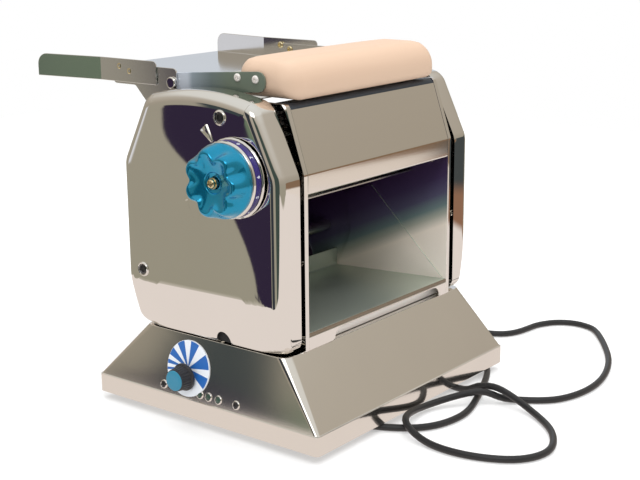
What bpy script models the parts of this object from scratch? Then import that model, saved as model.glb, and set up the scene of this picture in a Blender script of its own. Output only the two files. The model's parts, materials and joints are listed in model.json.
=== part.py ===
# Electric pasta maker: a table-top dough sheeter with a motor in its base,
# two geared rollers, a thickness knob, a lifting wooden guard and a feed tray.
# X runs across the machine, -Y is the outlet side, +Z is up, all in metres.

import math

import bpy
import bmesh
from mathutils import Matrix, Vector

# Fits
GAP = 0.00035
TRIM_GAP = 0.0006
OVERRUN = 0.002
SHEET = 0.0012

# Base and feet
BASE_MARGIN = 0.002
BASE_HALF_DEPTH = 0.1346
BASE_HEIGHT = 0.0754
BASE_WALL = 0.002
RIM_HEIGHT = 0.018
RIM_STEP = 0.0008
SIDE_SLOPE = 0.0119
FRONT_SLOPE = 0.0442
REAR_SLOPE = 0.0543
RIM_CORNER = 0.004
DECK_CORNER = 0.010
BASE_PLATE_RISE = 0.002
BASE_PLATE_THICKNESS = 0.0015
VENT_LENGTH = 0.050
VENT_WIDTH = 0.004
VENT_PITCH = 0.012
VENT_COUNT = 6
VENT_X = -0.030
FOOT_HEIGHT = 0.0075
FOOT_RADIUS = 0.013
FOOT_SIDE_INSET = 0.0375
FOOT_END_INSET = 0.0356
FOOT_DISH = 0.0015
FOOT_CHAMFER = 0.001

# Frame plates
THROAT_HALF_WIDTH = 0.110
FRAME_THICKNESS = 0.005
FRONT_Y = -0.0927
FRONT_BEND_RISE = 0.1576
SLOPE_TOP_Y = -0.0732
FRAME_TOP_RISE = 0.2161
FRAME_REAR_TOP_Y = 0.060
FRAME_REAR_Y = 0.088
FRAME_REAR_BEND_RISE = 0.1566
FRAME_REAR_FOOT_Y = 0.079
FRAME_REAR_FOOT_RISE = 0.0166
FRAME_REAR_LOW_RISE = 0.0346
FRAME_CORNER = 0.008
SPACER_RADIUS = 0.006
SPACER_FRONT_Y = -0.073
SPACER_FRONT_RISE = 0.0746
SPACER_TOP_Y = 0.030
SPACER_TOP_RISE = 0.2046
SPACER_REAR_Y = 0.071
SPACER_REAR_RISE = 0.0586

# Side covers
COVER_RIM_OUT = 0.006
COVER_FACE_OUT = 0.0335
COVER_DOME = 0.002
DOME_SHARES = (0.82, 0.62)
COVER_WALL = 0.0015
COVER_ROUND = 0.011
COVER_FRONT_Y = -0.093
COVER_REAR_Y = 0.095
COVER_BOTTOM_RISE = 0.0021
COVER_BOTTOM_REAR_Y = 0.089
COVER_BEND_RISE = 0.1566
COVER_LOW_BEND_RISE = 0.0466
COVER_TOP_Y = 0.064
COVER_TOP_RISE = 0.2176
COVER_CROWN = 0.0085
COVER_BEND_RADIUS = 0.020
COVER_TOP_RADIUS = 0.018
COVER_FOOT_RADIUS = 0.007
TUCK_START_RISE = 0.0486
TUCK = 0.0145
COVER_OPENING_INSET = 0.010
NOTCH_Y = -0.020
NOTCH_RADIUS = 0.010
NOTCH_HEIGHT = 0.0085

# Rollers, journals and their bearings
ROLLER_RADIUS = 0.030
ROLLER_NIP = 0.0006
ROLLER_RISE = 0.1556
FRONT_ROLLER_Y = -0.045
ROLLER_END_GAP = 0.0015
ROLLER_CHAMFER = 0.001
GAP_TRAVEL = 0.005
JOURNAL_RADIUS = 0.012
JOURNAL_STAND_OUT = 0.0003
BUSH_WALL = 0.0044
BUSH_FLANGE = 0.004
BUSH_FLANGE_WIDTH = 0.0025
BLOCK_HALF_DEPTH = 0.0243
BLOCK_HALF_HEIGHT = 0.022
BLOCK_END_GAP = 0.0006
BLOCK_FILLET = 0.003
LUG_THICKNESS = 0.005
LUG_OUT = 0.0008
LUG_RISE = 0.012

# Gears
GEAR_TEETH = 20
IDLER_TEETH = 22
PINION_TEETH = 15
GEAR_OUT = 0.0068
GEAR_WIDTH = 0.006
PRESSURE_ANGLE = math.radians(20)
TOOTH_SHARE = 0.43
ADDENDUM_SHARE = 1.0
DEDENDUM_SHARE = 1.25
GEAR_ROOM = 0.0015
STUD_RADIUS = 0.007
STUD_HEAD_RADIUS = 0.010
STUD_HEAD_WIDTH = 0.0015
PINION_SHAFT_RADIUS = 0.006
PINION_SHAFT_DEPTH = 0.006

# Thickness adjuster
ADJUSTER_TEETH = 16
CROSS_SHAFT_RISE = 0.1916
CROSS_SHAFT_RADIUS = 0.0045
ADJUSTER_SHAFT_RADIUS = 0.005
ADJUSTER_GEAR_OUT = 0.011
ADJUSTER_GEAR_WIDTH = 0.006
SHAFT_STAND_OUT = 0.002
CAM_LOW_RADIUS = 0.008
KNOB_RANGE = math.radians(270)
CAM_DROP = math.radians(40)
BRIDGE_OUT = 0.0212
BRIDGE_THICKNESS = 0.003
BRIDGE_POST_RADIUS = 0.004
BRIDGE_EDGE_RADIUS = 0.008
BRIDGE_HUB_RADIUS = 0.012
BRIDGE_LOW_POST_DROP = 0.033
BRIDGE_TOP_POST_Y = -0.014
BRIDGE_TOP_POST_RISE = 0.031
SHAFT_HOLE_RADIUS = 0.0075
TRIM_RING_RADIUS = 0.035
TRIM_RING_WIDTH = 0.0022
TRIM_RING_BORE = 0.009
TRIM_RING_CHAMFER = 0.0012
DIAL_RADIUS = 0.0335
DIAL_WIDTH = 0.0095
DIAL_RIM_CHAMFER = 0.0015
KNOB_RADIUS = 0.0325
KNOB_WIDTH = 0.0195
KNOB_LOBES = 8
KNOB_LOBE_STEPS = 8
KNOB_FLUTE = 0.0045
KNOB_HOLLOW_POWER = 1.6
KNOB_FOOT = 0.0025
KNOB_CHAMFER = 0.0008
KNOB_DISH_RADIUS = 0.021
KNOB_DISH_FLOOR_RADIUS = 0.0085
KNOB_DISH_DEPTH = 0.010
SHAFT_HEAD_RADIUS = 0.005
SHAFT_HEAD_WIDTH = 0.0047
SHAFT_HEAD_INSET = 0.0016

# Front panels, chute, rear panel and scrapers
PANEL_TOP_RETURN = 0.016
PANEL_LOWER_RISE = 0.1391
PANEL_LOWER_RETURN = 0.010
PANEL_TOP_ROUND = 0.007
PANEL_LOWER_ROUND = 0.003
CHUTE_FRONT_RISE = 0.0161
CHUTE_REAR_Y = 0.045
CHUTE_REAR_RISE = 0.0091
CHUTE_BAND_RISE = 0.0271
CHUTE_HEM = 0.0035
CHEEK_TOP_Y = -0.001
CHEEK_TOP_RISE = 0.1006
CHEEK_REAR_Y = 0.032
CHEEK_REAR_TOP_RISE = 0.0906
CHEEK_WAIST_Y = 0.026
CHEEK_WAIST_RISE = 0.0466
SLOT_LEFT_INSET = 0.037
SLOT_RIGHT_INSET = 0.012
SLOT_HEIGHT = 0.0105
APRON_THICKNESS = 0.0015
REAR_PANEL_TOP_RISE = 0.1866
REAR_PANEL_TOP_Y = 0.064
REAR_PANEL_INNER_Y = 0.046
PANEL_CORNER = 0.005
SCRAPER_ANGLE = math.radians(20)
SCRAPER_CLEARANCE = 0.0006
SCRAPER_REACH = 0.004
SCRAPER_FLANGE = 0.012
ROD_RADIUS = 0.006
LOWER_ROD_Y = 0.058
LOWER_ROD_RISE = 0.0506
UPPER_ROD_Y = 0.068
UPPER_ROD_RISE = 0.1606
ROD_NECK = 0.001

# Guard, tray brackets and feed tray
BAR_FRONT_Y = -0.079
BAR_REAR_Y = -0.012
BAR_BOTTOM_RISE = 0.2181
BAR_TOP_RISE = 0.2531
BAR_NOSE = 0.022
BAR_BACK_ROUND = 0.015
BAR_EDGE_ROUND = 0.004
ARM_THICKNESS = 0.002
ARM_FRONT_Y = -0.051
ARM_BOTTOM_RISE = 0.2241
ARM_TOP_RISE = 0.2421
ARM_FRONT_ROUND = 0.008
PIVOT_Y = 0.0573
PIVOT_RISE = 0.2256
PIVOT_LOBE = 0.009
PIVOT_RADIUS = 0.003
BOLT_HEAD_RADIUS = 0.0055
BOLT_HEAD_WIDTH = 0.0025
BRACKET_THICKNESS = 0.0015
BRACKET_FRONT_Y = 0.052
BRACKET_REAR_Y = 0.134
BRACKET_TOP_RISE = 0.2386
BRACKET_EAR_RISE = 0.2201
BRACKET_KNEE_Y = 0.105
BRACKET_HEEL_Y = 0.093
BRACKET_HEEL_RISE = 0.2076
BRACKET_FOOT_Y = 0.072
BRACKET_FOOT_RISE = 0.1866
TRAY_FLOOR_RISE = 0.2221
TRAY_WALL_TOP_RISE = 0.2436
TRAY_FRONT_Y = 0.082
TRAY_WALL_FRONT_Y = 0.076
TRAY_BEND_Y = 0.149
TRAY_REAR_Y = 0.2265
TRAY_FLARE = 0.0105
TRAY_ROUND = 0.019
TRAY_LIP_Y = 0.056
TRAY_LIP_RISE = 0.1966
TRAY_LIP_INSET = 0.002

# Drive and controls in the base
GEARBOX_WIDTH = 0.060
GEARBOX_END_GAP = 0.0038
GEARBOX_HALF_DEPTH = 0.028
GEARBOX_TOP_GAP = 0.0034
GEARBOX_ROUND = 0.004
MOTOR_RADIUS = 0.027
MOTOR_LENGTH = 0.118
MOTOR_BELL = 0.020
MOTOR_BELL_RADIUS = 0.022
BOARD_INSET = 0.0245
BOARD_WIDTH = 0.048
BOARD_FRONT_INSET = 0.0446
BOARD_DEPTH = 0.075
BOARD_RISE = 0.006
BOARD_THICKNESS = 0.0016
BOARD_POST = 0.003
BOARD_SINK_WIDTH = 0.012
BOARD_SINK_HEIGHT = 0.022
BOARD_CAN_RADIUS = 0.007
BOARD_CAN_HEIGHT = 0.026
SPEED_Y = 0.020
SPEED_DROP = 0.0077
SPEED_DISC_MARGIN = 0.0027
SPEED_DISC_DROP = 0.0012
SPEED_DISC_THICKNESS = 0.001
SPEED_KNOB_OUT = 0.0005
SPEED_SKIRT_RADIUS = 0.013
SPEED_NECK_RADIUS = 0.0105
SPEED_KNOB_WIDTH = 0.0125
SPEED_CAP_RADIUS = 0.0095
SPEED_CAP_WIDTH = 0.0012
SPEED_STEM_RADIUS = 0.003
POT_RADIUS = 0.0085
POT_SET_BACK = 0.010
POT_DEPTH = 0.012
POT_BRACKET = 0.002

# Mains lead
CORD_RADIUS = 0.00325
CORD_EXIT_Y = 0.070
CORD_EXIT_Z = 0.009
RELIEF_RADIUS = 0.005
RELIEF_TIP_RADIUS = 0.0042
RELIEF_FLANGE_RADIUS = 0.008
RELIEF_LENGTH = 0.028
RELIEF_FLANGE = 0.002
PLUG_X = 0.0865
PLUG_Y = 0.212
PLUG_RADIUS = 0.018
PLUG_LENGTH = 0.034
PLUG_NECK_RADIUS = 0.0075
PLUG_NECK = 0.022
PIN_RADIUS = 0.0024
PIN_LENGTH = 0.019
PIN_SPREAD = 0.0095

CORD_SPACING = 0.024
# Route points of the lead: hand-placed from the photograph, across, along, up
CORD_ROUTE = (
    (0.1812, 0.0700, 0.0090),
    (0.1870, 0.0700, 0.0090),
    (0.2095, 0.0592, -0.0010),
    (0.2250, 0.0180, -0.0040),
    (0.2390, -0.0800, -0.0040),
    (0.2960, -0.1000, -0.0040),
    (0.3175, -0.1160, -0.0040),
    (0.3225, -0.1400, -0.0040),
    (0.3050, -0.1670, -0.0040),
    (0.2310, -0.2160, -0.0040),
    (0.1600, -0.2370, -0.0040),
    (0.1030, -0.2270, -0.0040),
    (0.0720, -0.1895, -0.0032),
    (0.0540, -0.1665, 0.0044),
    (0.0090, -0.1400, -0.0010),
    (-0.0440, -0.1500, 0.0046),
    (-0.0610, -0.1820, -0.0030),
    (-0.0630, -0.2250, -0.0040),
    (-0.0450, -0.2650, -0.0040),
    (-0.0120, -0.2780, -0.0040),
    (0.0280, -0.2590, -0.0040),
    (0.0580, -0.2200, -0.0020),
    (0.0652, -0.1840, 0.0076),
    (0.0673, -0.1610, 0.0052),
    (0.0692, -0.1415, -0.0034),
    (0.0760, -0.1100, -0.0040),
    (0.0985, -0.0765, -0.0040),
    (0.1280, -0.0725, -0.0040),
    (0.1485, -0.0960, -0.0040),
    (0.1340, -0.1285, -0.0040),
    (0.0540, -0.1645, -0.0040),
    (0.0050, -0.1750, -0.0040),
    (-0.0375, -0.1590, -0.0040),
    (-0.0630, -0.1080, -0.0040),
    (-0.0550, -0.0480, -0.0040),
    (0.0350, 0.0780, -0.0040),
    (0.0730, 0.1430, -0.0034),
    (0.0850, 0.1830, 0.0075),
    (0.0865, 0.2040, 0.0105),
    (0.0865, 0.21165, 0.0105),
)

# Worked out from the sizes above
DECK_Z = BASE_HEIGHT + GAP
FRONT_BEND_Z = BASE_HEIGHT + FRONT_BEND_RISE
FRAME_TOP_Z = BASE_HEIGHT + FRAME_TOP_RISE
FRAME_REAR_BEND_Z = BASE_HEIGHT + FRAME_REAR_BEND_RISE
FRAME_REAR_FOOT_Z = BASE_HEIGHT + FRAME_REAR_FOOT_RISE
FRAME_REAR_LOW_Z = BASE_HEIGHT + FRAME_REAR_LOW_RISE
COVER_BOTTOM_Z = BASE_HEIGHT + COVER_BOTTOM_RISE
COVER_BEND_Z = BASE_HEIGHT + COVER_BEND_RISE
COVER_LOW_BEND_Z = BASE_HEIGHT + COVER_LOW_BEND_RISE
COVER_TOP_Z = BASE_HEIGHT + COVER_TOP_RISE
TUCK_START_Z = BASE_HEIGHT + TUCK_START_RISE
ROLLER_Z = BASE_HEIGHT + ROLLER_RISE
BRIDGE_LOW_POST_Z = ROLLER_Z - BRIDGE_LOW_POST_DROP
BRIDGE_TOP_POST_Z = ROLLER_Z + BRIDGE_TOP_POST_RISE
CROSS_SHAFT_Z = BASE_HEIGHT + CROSS_SHAFT_RISE
PANEL_LOWER_Z = BASE_HEIGHT + PANEL_LOWER_RISE
CHUTE_FRONT_Z = BASE_HEIGHT + CHUTE_FRONT_RISE
CHUTE_REAR_Z = BASE_HEIGHT + CHUTE_REAR_RISE
CHUTE_BAND_Z = BASE_HEIGHT + CHUTE_BAND_RISE
CHEEK_TOP_Z = BASE_HEIGHT + CHEEK_TOP_RISE
CHEEK_REAR_TOP_Z = BASE_HEIGHT + CHEEK_REAR_TOP_RISE
CHEEK_WAIST_Z = BASE_HEIGHT + CHEEK_WAIST_RISE
REAR_PANEL_TOP_Z = BASE_HEIGHT + REAR_PANEL_TOP_RISE
LOWER_ROD_Z = BASE_HEIGHT + LOWER_ROD_RISE
UPPER_ROD_Z = BASE_HEIGHT + UPPER_ROD_RISE
BAR_BOTTOM_Z = BASE_HEIGHT + BAR_BOTTOM_RISE
BAR_TOP_Z = BASE_HEIGHT + BAR_TOP_RISE
ARM_BOTTOM_Z = BASE_HEIGHT + ARM_BOTTOM_RISE
ARM_TOP_Z = BASE_HEIGHT + ARM_TOP_RISE
PIVOT_Z = BASE_HEIGHT + PIVOT_RISE
BRACKET_TOP_Z = BASE_HEIGHT + BRACKET_TOP_RISE
BRACKET_EAR_Z = BASE_HEIGHT + BRACKET_EAR_RISE
BRACKET_HEEL_Z = BASE_HEIGHT + BRACKET_HEEL_RISE
BRACKET_FOOT_Z = BASE_HEIGHT + BRACKET_FOOT_RISE
TRAY_FLOOR_Z = BASE_HEIGHT + TRAY_FLOOR_RISE
TRAY_WALL_TOP_Z = BASE_HEIGHT + TRAY_WALL_TOP_RISE
TRAY_LIP_Z = BASE_HEIGHT + TRAY_LIP_RISE
SPACER_PLACES = (
    (SPACER_FRONT_Y, BASE_HEIGHT + SPACER_FRONT_RISE),
    (SPACER_TOP_Y, BASE_HEIGHT + SPACER_TOP_RISE),
    (SPACER_REAR_Y, BASE_HEIGHT + SPACER_REAR_RISE),
)
FLOOR_Z = -FOOT_HEIGHT
FRAME_OUTER_X = THROAT_HALF_WIDTH + FRAME_THICKNESS
COVER_RIM_X = FRAME_OUTER_X + COVER_RIM_OUT
COVER_FACE_X = FRAME_OUTER_X + COVER_FACE_OUT
COVER_OUTER_X = COVER_FACE_X + COVER_DOME
BASE_HALF_WIDTH = COVER_OUTER_X + BASE_MARGIN
GEAR_INNER_X = FRAME_OUTER_X + GEAR_OUT
BLOCK_OUTER_X = GEAR_INNER_X - BLOCK_END_GAP
JOURNAL_END_X = BLOCK_OUTER_X + JOURNAL_STAND_OUT
LUG_INNER_X = FRAME_OUTER_X + LUG_OUT
ADJUSTER_GEAR_X = FRAME_OUTER_X + ADJUSTER_GEAR_OUT
BRIDGE_X = FRAME_OUTER_X + BRIDGE_OUT
SLOT_LEFT_X = SLOT_LEFT_INSET - THROAT_HALF_WIDTH
SLOT_RIGHT_X = THROAT_HALF_WIDTH - SLOT_RIGHT_INSET
TRAY_LIP_HALF_WIDTH = THROAT_HALF_WIDTH - TRAY_LIP_INSET
ARM_OUTER_X = FRAME_OUTER_X
GEARBOX_HIGH_X = GEAR_INNER_X - GEARBOX_END_GAP
GEARBOX_LOW_X = GEARBOX_HIGH_X - GEARBOX_WIDTH
GEARBOX_TOP_Z = BASE_HEIGHT - BASE_WALL - GEARBOX_TOP_GAP
BOARD_LOW_X = BOARD_INSET - BASE_HALF_WIDTH
BOARD_HIGH_X = BOARD_LOW_X + BOARD_WIDTH
BOARD_LOW_Y = BOARD_FRONT_INSET - BASE_HALF_DEPTH
BOARD_HIGH_Y = BOARD_LOW_Y + BOARD_DEPTH
SLOPE_MIDDLE_Z = (RIM_HEIGHT + BASE_HEIGHT) / 2
SPEED_Z = SLOPE_MIDDLE_Z - SPEED_DROP
SPEED_DISC_Z = SLOPE_MIDDLE_Z - SPEED_DISC_DROP
SPEED_DISC_RADIUS = (BASE_HEIGHT - RIM_HEIGHT) / 2 - SPEED_DISC_MARGIN
SPEED_KNOB_X = BASE_HALF_WIDTH + SPEED_KNOB_OUT
POT_FRONT_X = BASE_HALF_WIDTH - POT_SET_BACK
INSIDE_X = THROAT_HALF_WIDTH - GAP
REAR_ROLLER_Y = FRONT_ROLLER_Y + 2 * ROLLER_RADIUS + ROLLER_NIP
GEAR_MODULE = (REAR_ROLLER_Y - FRONT_ROLLER_Y) / GEAR_TEETH
GEAR_OUTER_X = GEAR_INNER_X + GEAR_WIDTH
UPPER_IDLER_Z = ROLLER_Z - GEAR_MODULE * (GEAR_TEETH + IDLER_TEETH) / 2
LOWER_IDLER_Z = UPPER_IDLER_Z - GEAR_MODULE * IDLER_TEETH
PINION_Z = LOWER_IDLER_Z - GEAR_MODULE * (IDLER_TEETH + PINION_TEETH) / 2
IDLER_TIP_RADIUS = GEAR_MODULE * (IDLER_TEETH + 2) / 2
ADJUSTER_MODULE = (CROSS_SHAFT_Z - ROLLER_Z) / ADJUSTER_TEETH
LUG_REAR_Y = FRONT_ROLLER_Y - CAM_LOW_RADIUS - 2 * GAP
DIAL_X = COVER_OUTER_X + 2 * GAP + TRIM_RING_WIDTH
KNOB_X = DIAL_X + DIAL_WIDTH
KNOB_FRONT_X = KNOB_X + GAP + KNOB_WIDTH
BRACKET_INNER_X = FRAME_OUTER_X + GAP
BRACKET_OUTER_X = BRACKET_INNER_X + BRACKET_THICKNESS
TRAY_WALL_X = BRACKET_OUTER_X + GAP + SHEET
PLATE_TOP_Z = BASE_PLATE_RISE + BASE_PLATE_THICKNESS
SHIFT_X = (KNOB_FRONT_X - BASE_HALF_WIDTH) / 2
SHIFT_Y = (BASE_HALF_DEPTH - TRAY_REAR_Y) / 2

# Mesh fineness, in counts
ROUND_STEPS = 32
SMALL_STEPS = 16
BEND_STEPS = 3
TINY_STEPS = 12
ROUTE_STEPS = 10
CORD_SIDE_STEPS = 2
SHARP_ANGLE = math.radians(30)
FLANK_SHARES = (0.0, 1.0)

MATERIALS = {
    "polished_steel": ((0.78, 0.76, 0.74), 0.12, 1.0),
    "satin_steel": ((0.62, 0.60, 0.57), 0.34, 1.0),
    "dark_steel": ((0.32, 0.32, 0.33), 0.40, 1.0),
    "zinc_steel": ((0.66, 0.67, 0.68), 0.30, 1.0),
    "gear_steel": ((0.45, 0.45, 0.46), 0.38, 1.0),
    "bronze": ((0.62, 0.45, 0.25), 0.35, 1.0),
    "beech": ((0.86, 0.67, 0.50), 0.55, 0.0),
    "blue_knob": ((0.02, 0.33, 0.50), 0.22, 0.5),
    "dial_violet": ((0.09, 0.07, 0.34), 0.35, 0.2),
    "dial_white": ((0.86, 0.88, 0.90), 0.40, 0.0),
    "black_plastic": ((0.02, 0.02, 0.022), 0.45, 0.0),
    "blue_cap": ((0.03, 0.32, 0.50), 0.35, 0.0),
    "rubber": ((0.02, 0.02, 0.02), 0.70, 0.0),
    "cord_rubber": ((0.015, 0.015, 0.017), 0.50, 0.0),
    "motor_paint": ((0.10, 0.11, 0.12), 0.50, 0.3),
    "cast_alloy": ((0.55, 0.56, 0.57), 0.50, 0.9),
    "board_green": ((0.03, 0.22, 0.10), 0.45, 0.0),
}


# Scene helpers


def clear_scene():
    for obj in list(bpy.data.objects):
        bpy.data.objects.remove(obj, do_unlink=True)
    for mesh in list(bpy.data.meshes):
        bpy.data.meshes.remove(mesh)


def material(name):
    found = bpy.data.materials.get(name)
    if found:
        return found
    colour, roughness, metallic = MATERIALS[name]
    made = bpy.data.materials.new(name)
    made.use_nodes = True
    shader = made.node_tree.nodes["Principled BSDF"]
    shader.inputs["Base Color"].default_value = (*colour, 1.0)
    shader.inputs["Roughness"].default_value = roughness
    shader.inputs["Metallic"].default_value = metallic
    made.diffuse_color = (*colour, 1.0)
    return made


def pivot(name, location, parent):
    empty = bpy.data.objects.new(name, None)
    bpy.context.collection.objects.link(empty)
    empty.parent = parent
    empty.location = Vector(location) - Vector(parent["machine_place"])
    empty["machine_place"] = tuple(location)
    return empty


def place(obj, parent):
    obj.parent = parent
    obj.location = -Vector(parent["machine_place"])
    return obj


def solid(name, verts, faces, look, parent, smooth=True):
    mesh = bpy.data.meshes.new(name)
    mesh.from_pydata([tuple(v) for v in verts], [], faces)
    shape = bmesh.new()
    shape.from_mesh(mesh)
    bmesh.ops.recalc_face_normals(shape, faces=shape.faces)
    if shape.calc_volume(signed=True) < 0:
        bmesh.ops.reverse_faces(shape, faces=shape.faces)
    shape.to_mesh(mesh)
    shape.free()
    mesh.materials.append(material(look))
    if smooth:
        mesh.shade_smooth()
        mesh.set_sharp_from_angle(angle=SHARP_ANGLE)
    obj = bpy.data.objects.new(name, mesh)
    bpy.context.collection.objects.link(obj)
    return place(obj, parent)


def as_tool(obj):
    obj.hide_render = True
    obj.display_type = "WIRE"
    return obj


def boolean(target, other, operation):
    step = target.modifiers.new(operation.title() + " " + other.name, "BOOLEAN")
    step.operation = operation
    step.solver = "EXACT"
    step.object = as_tool(other)
    return target


def cut(target, *cutters):
    for cutter in cutters:
        boolean(target, cutter, "DIFFERENCE")
    return target


def fuse(target, *others):
    for other in others:
        boolean(target, other, "UNION")
    return target


# Outline helpers


def fillet(points, radius, steps=BEND_STEPS, closed=True):
    """Rounds an outline's corners; radius is one number or one for each corner."""
    count = len(points)
    radii = radius if isinstance(radius, (list, tuple)) else [radius] * count
    rounded = []
    for i, point in enumerate(points):
        here = Vector(point)
        ends = not closed and i in (0, count - 1)
        if ends or radii[i] <= 0:
            rounded.append(tuple(here))
            continue
        before = Vector(points[i - 1]) - here
        after = Vector(points[(i + 1) % count]) - here
        half = before.angle(after) / 2
        reach = min(radii[i] / math.tan(half), before.length / 2, after.length / 2)
        bend = reach * math.tan(half)
        to_before = before.normalized()
        to_after = after.normalized()
        centre = here + (to_before + to_after).normalized() * (bend / math.sin(half))
        first = here + to_before * reach - centre
        last = here + to_after * reach - centre
        sweep = first.angle_signed(last)
        for k in range(steps + 1):
            turn = Matrix.Rotation(-sweep * k / steps, 2)
            rounded.append(tuple(centre + turn @ first))
    return rounded


def sheet_outline(path, thickness):
    """The closed outline of a folded sheet, laid to the left of its path."""
    offset = []
    for i, point in enumerate(path):
        here = Vector(point)
        ahead = (Vector(path[i + 1]) - here).normalized() if i < len(path) - 1 else None
        behind = (here - Vector(path[i - 1])).normalized() if i > 0 else None
        run = ahead or behind
        if ahead and behind:
            run = (ahead + behind).normalized()
        left = Vector((-run.y, run.x))
        spread = left.dot(Vector((-ahead.y, ahead.x))) if ahead else 1.0
        offset.append(tuple(here + left * (thickness / spread)))
    return list(path) + offset[::-1]


def circle(centre, radius, steps=SMALL_STEPS, squash=1.0):
    return [
        (
            centre[0] + radius * math.cos(2 * math.pi * k / steps),
            centre[1] + squash * radius * math.sin(2 * math.pi * k / steps),
        )
        for k in range(steps)
    ]


def rectangle(left, low, right, high):
    return [(left, low), (right, low), (right, high), (left, high)]


def hull(points):
    """The convex outline round a set of points, anticlockwise."""
    ordered = sorted(set(points))

    def half(chain_points):
        chain = []
        for p in chain_points:
            while len(chain) > 1:
                a, b = chain[-2], chain[-1]
                if (b[0] - a[0]) * (p[1] - a[1]) - (b[1] - a[1]) * (p[0] - a[0]) > 0:
                    break
                chain.pop()
            chain.append(p)
        return chain[:-1]

    return half(ordered) + half(ordered[::-1])


def stadium(low, high, middle, radius, steps=SMALL_STEPS):
    """A slot outline along the first axis, from low to high."""
    ends = circle((low + radius, middle), radius, steps) + circle((high - radius, middle), radius, steps)
    return hull(ends)


def gear_outline(centre, teeth, module, phase):
    """Involute teeth, each with its root, pitch and tip points on both flanks."""
    pitch_radius = module * teeth / 2
    base_radius = pitch_radius * math.cos(PRESSURE_ANGLE)
    root = pitch_radius - DEDENDUM_SHARE * module
    tip = pitch_radius + ADDENDUM_SHARE * module

    def involute(radius):
        angle = math.acos(min(1.0, base_radius / radius))
        return math.tan(angle) - angle

    half_pitch = TOOTH_SHARE * math.pi / teeth + involute(pitch_radius)
    flank = [root + (tip - root) * share for share in FLANK_SHARES]
    spread = [half_pitch - involute(max(radius, base_radius)) for radius in flank]
    outline = []
    for k in range(teeth):
        middle = phase + 2 * math.pi * k / teeth
        side = [(r, middle - s) for r, s in zip(flank, spread)]
        side += [(r, middle + s) for r, s in zip(flank[::-1], spread[::-1])]
        outline += [(centre[0] + r * math.cos(a), centre[1] + r * math.sin(a)) for r, a in side]
    return outline


def meshing_phase(direction, teeth, phase, next_teeth):
    """The phase of the next gear, which lies in this direction from the first."""
    offset = (direction - phase) * teeth / (2 * math.pi)
    return direction + math.pi - (0.5 - offset) * 2 * math.pi / next_teeth


# Solid helpers


def lift(axis, a, b, along):
    """A point whose outline plane is square to the axis."""
    return {"X": (along, a, b), "Y": (a, along, b), "Z": (a, b, along)}[axis]


def prism(name, outline, axis, low, high, look, parent, smooth=True):
    count = len(outline)
    verts = [lift(axis, a, b, along) for along in (low, high) for a, b in outline]
    faces = [tuple(range(count))[::-1], tuple(range(count, 2 * count))]
    for i in range(count):
        j = (i + 1) % count
        faces.append((i, j, count + j, count + i))
    return solid(name, verts, faces, look, parent, smooth)


def turned(name, profile, centre, look, parent, steps=ROUND_STEPS, axis="X", closed=False):
    """Turns (radius, along) points about an axis; a closed profile leaves a bore."""
    verts = []
    rings = []
    for radius, along in profile:
        if radius <= 0:
            rings.append([len(verts)])
            verts.append(lift(axis, centre[0], centre[1], along))
            continue
        rings.append(list(range(len(verts), len(verts) + steps)))
        verts += [lift(axis, a, b, along) for a, b in circle(centre, radius, steps)]
    faces = []
    pairs = list(zip(rings, rings[1:]))
    if closed:
        pairs.append((rings[-1], rings[0]))
    for first, second in pairs:
        for k in range(steps):
            n = (k + 1) % steps
            quad = [first[k % len(first)], first[n % len(first)]]
            quad += [second[n % len(second)], second[k % len(second)]]
            faces.append(list(dict.fromkeys(quad)))
    return solid(name, verts, faces, look, parent)


def rod(name, centre, radius, low, high, look, parent, steps=SMALL_STEPS, axis="X"):
    return prism(name, circle(centre, radius, steps), axis, low, high, look, parent)


def box(name, low, high, look, parent):
    outline = rectangle(low[0], low[1], high[0], high[1])
    return prism(name, outline, "Z", low[2], high[2], look, parent, smooth=False)


def along_side(side, near, far):
    """The low and high X of a piece that spans near to far on one side."""
    return min(side * near, side * far), max(side * near, side * far)


SIDES = (("left", -1), ("right", 1))


# Base


def base_ring(z, half_width, low_y, high_y, corner):
    points = rectangle(-half_width, low_y, half_width, high_y)
    return [(x, y, z) for x, y in fillet(points, corner)]


def base_section(z, inset):
    """The base's outline at a height, moved inwards by the wall."""
    rise = max(0.0, (z - RIM_HEIGHT) / (BASE_HEIGHT - RIM_HEIGHT))
    step = RIM_STEP if rise > 0 else 0.0
    return base_ring(
        z,
        BASE_HALF_WIDTH - step - (SIDE_SLOPE - step) * rise - inset,
        -BASE_HALF_DEPTH + step + (FRONT_SLOPE - step) * rise + inset,
        BASE_HALF_DEPTH - step - (REAR_SLOPE - step) * rise - inset,
        RIM_CORNER + (DECK_CORNER - RIM_CORNER) * rise,
    )


def slope_x(z):
    """How far out the base's side face lies at a height above the rim."""
    rise = (z - RIM_HEIGHT) / (BASE_HEIGHT - RIM_HEIGHT)
    return BASE_HALF_WIDTH - RIM_STEP - (SIDE_SLOPE - RIM_STEP) * rise


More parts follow.
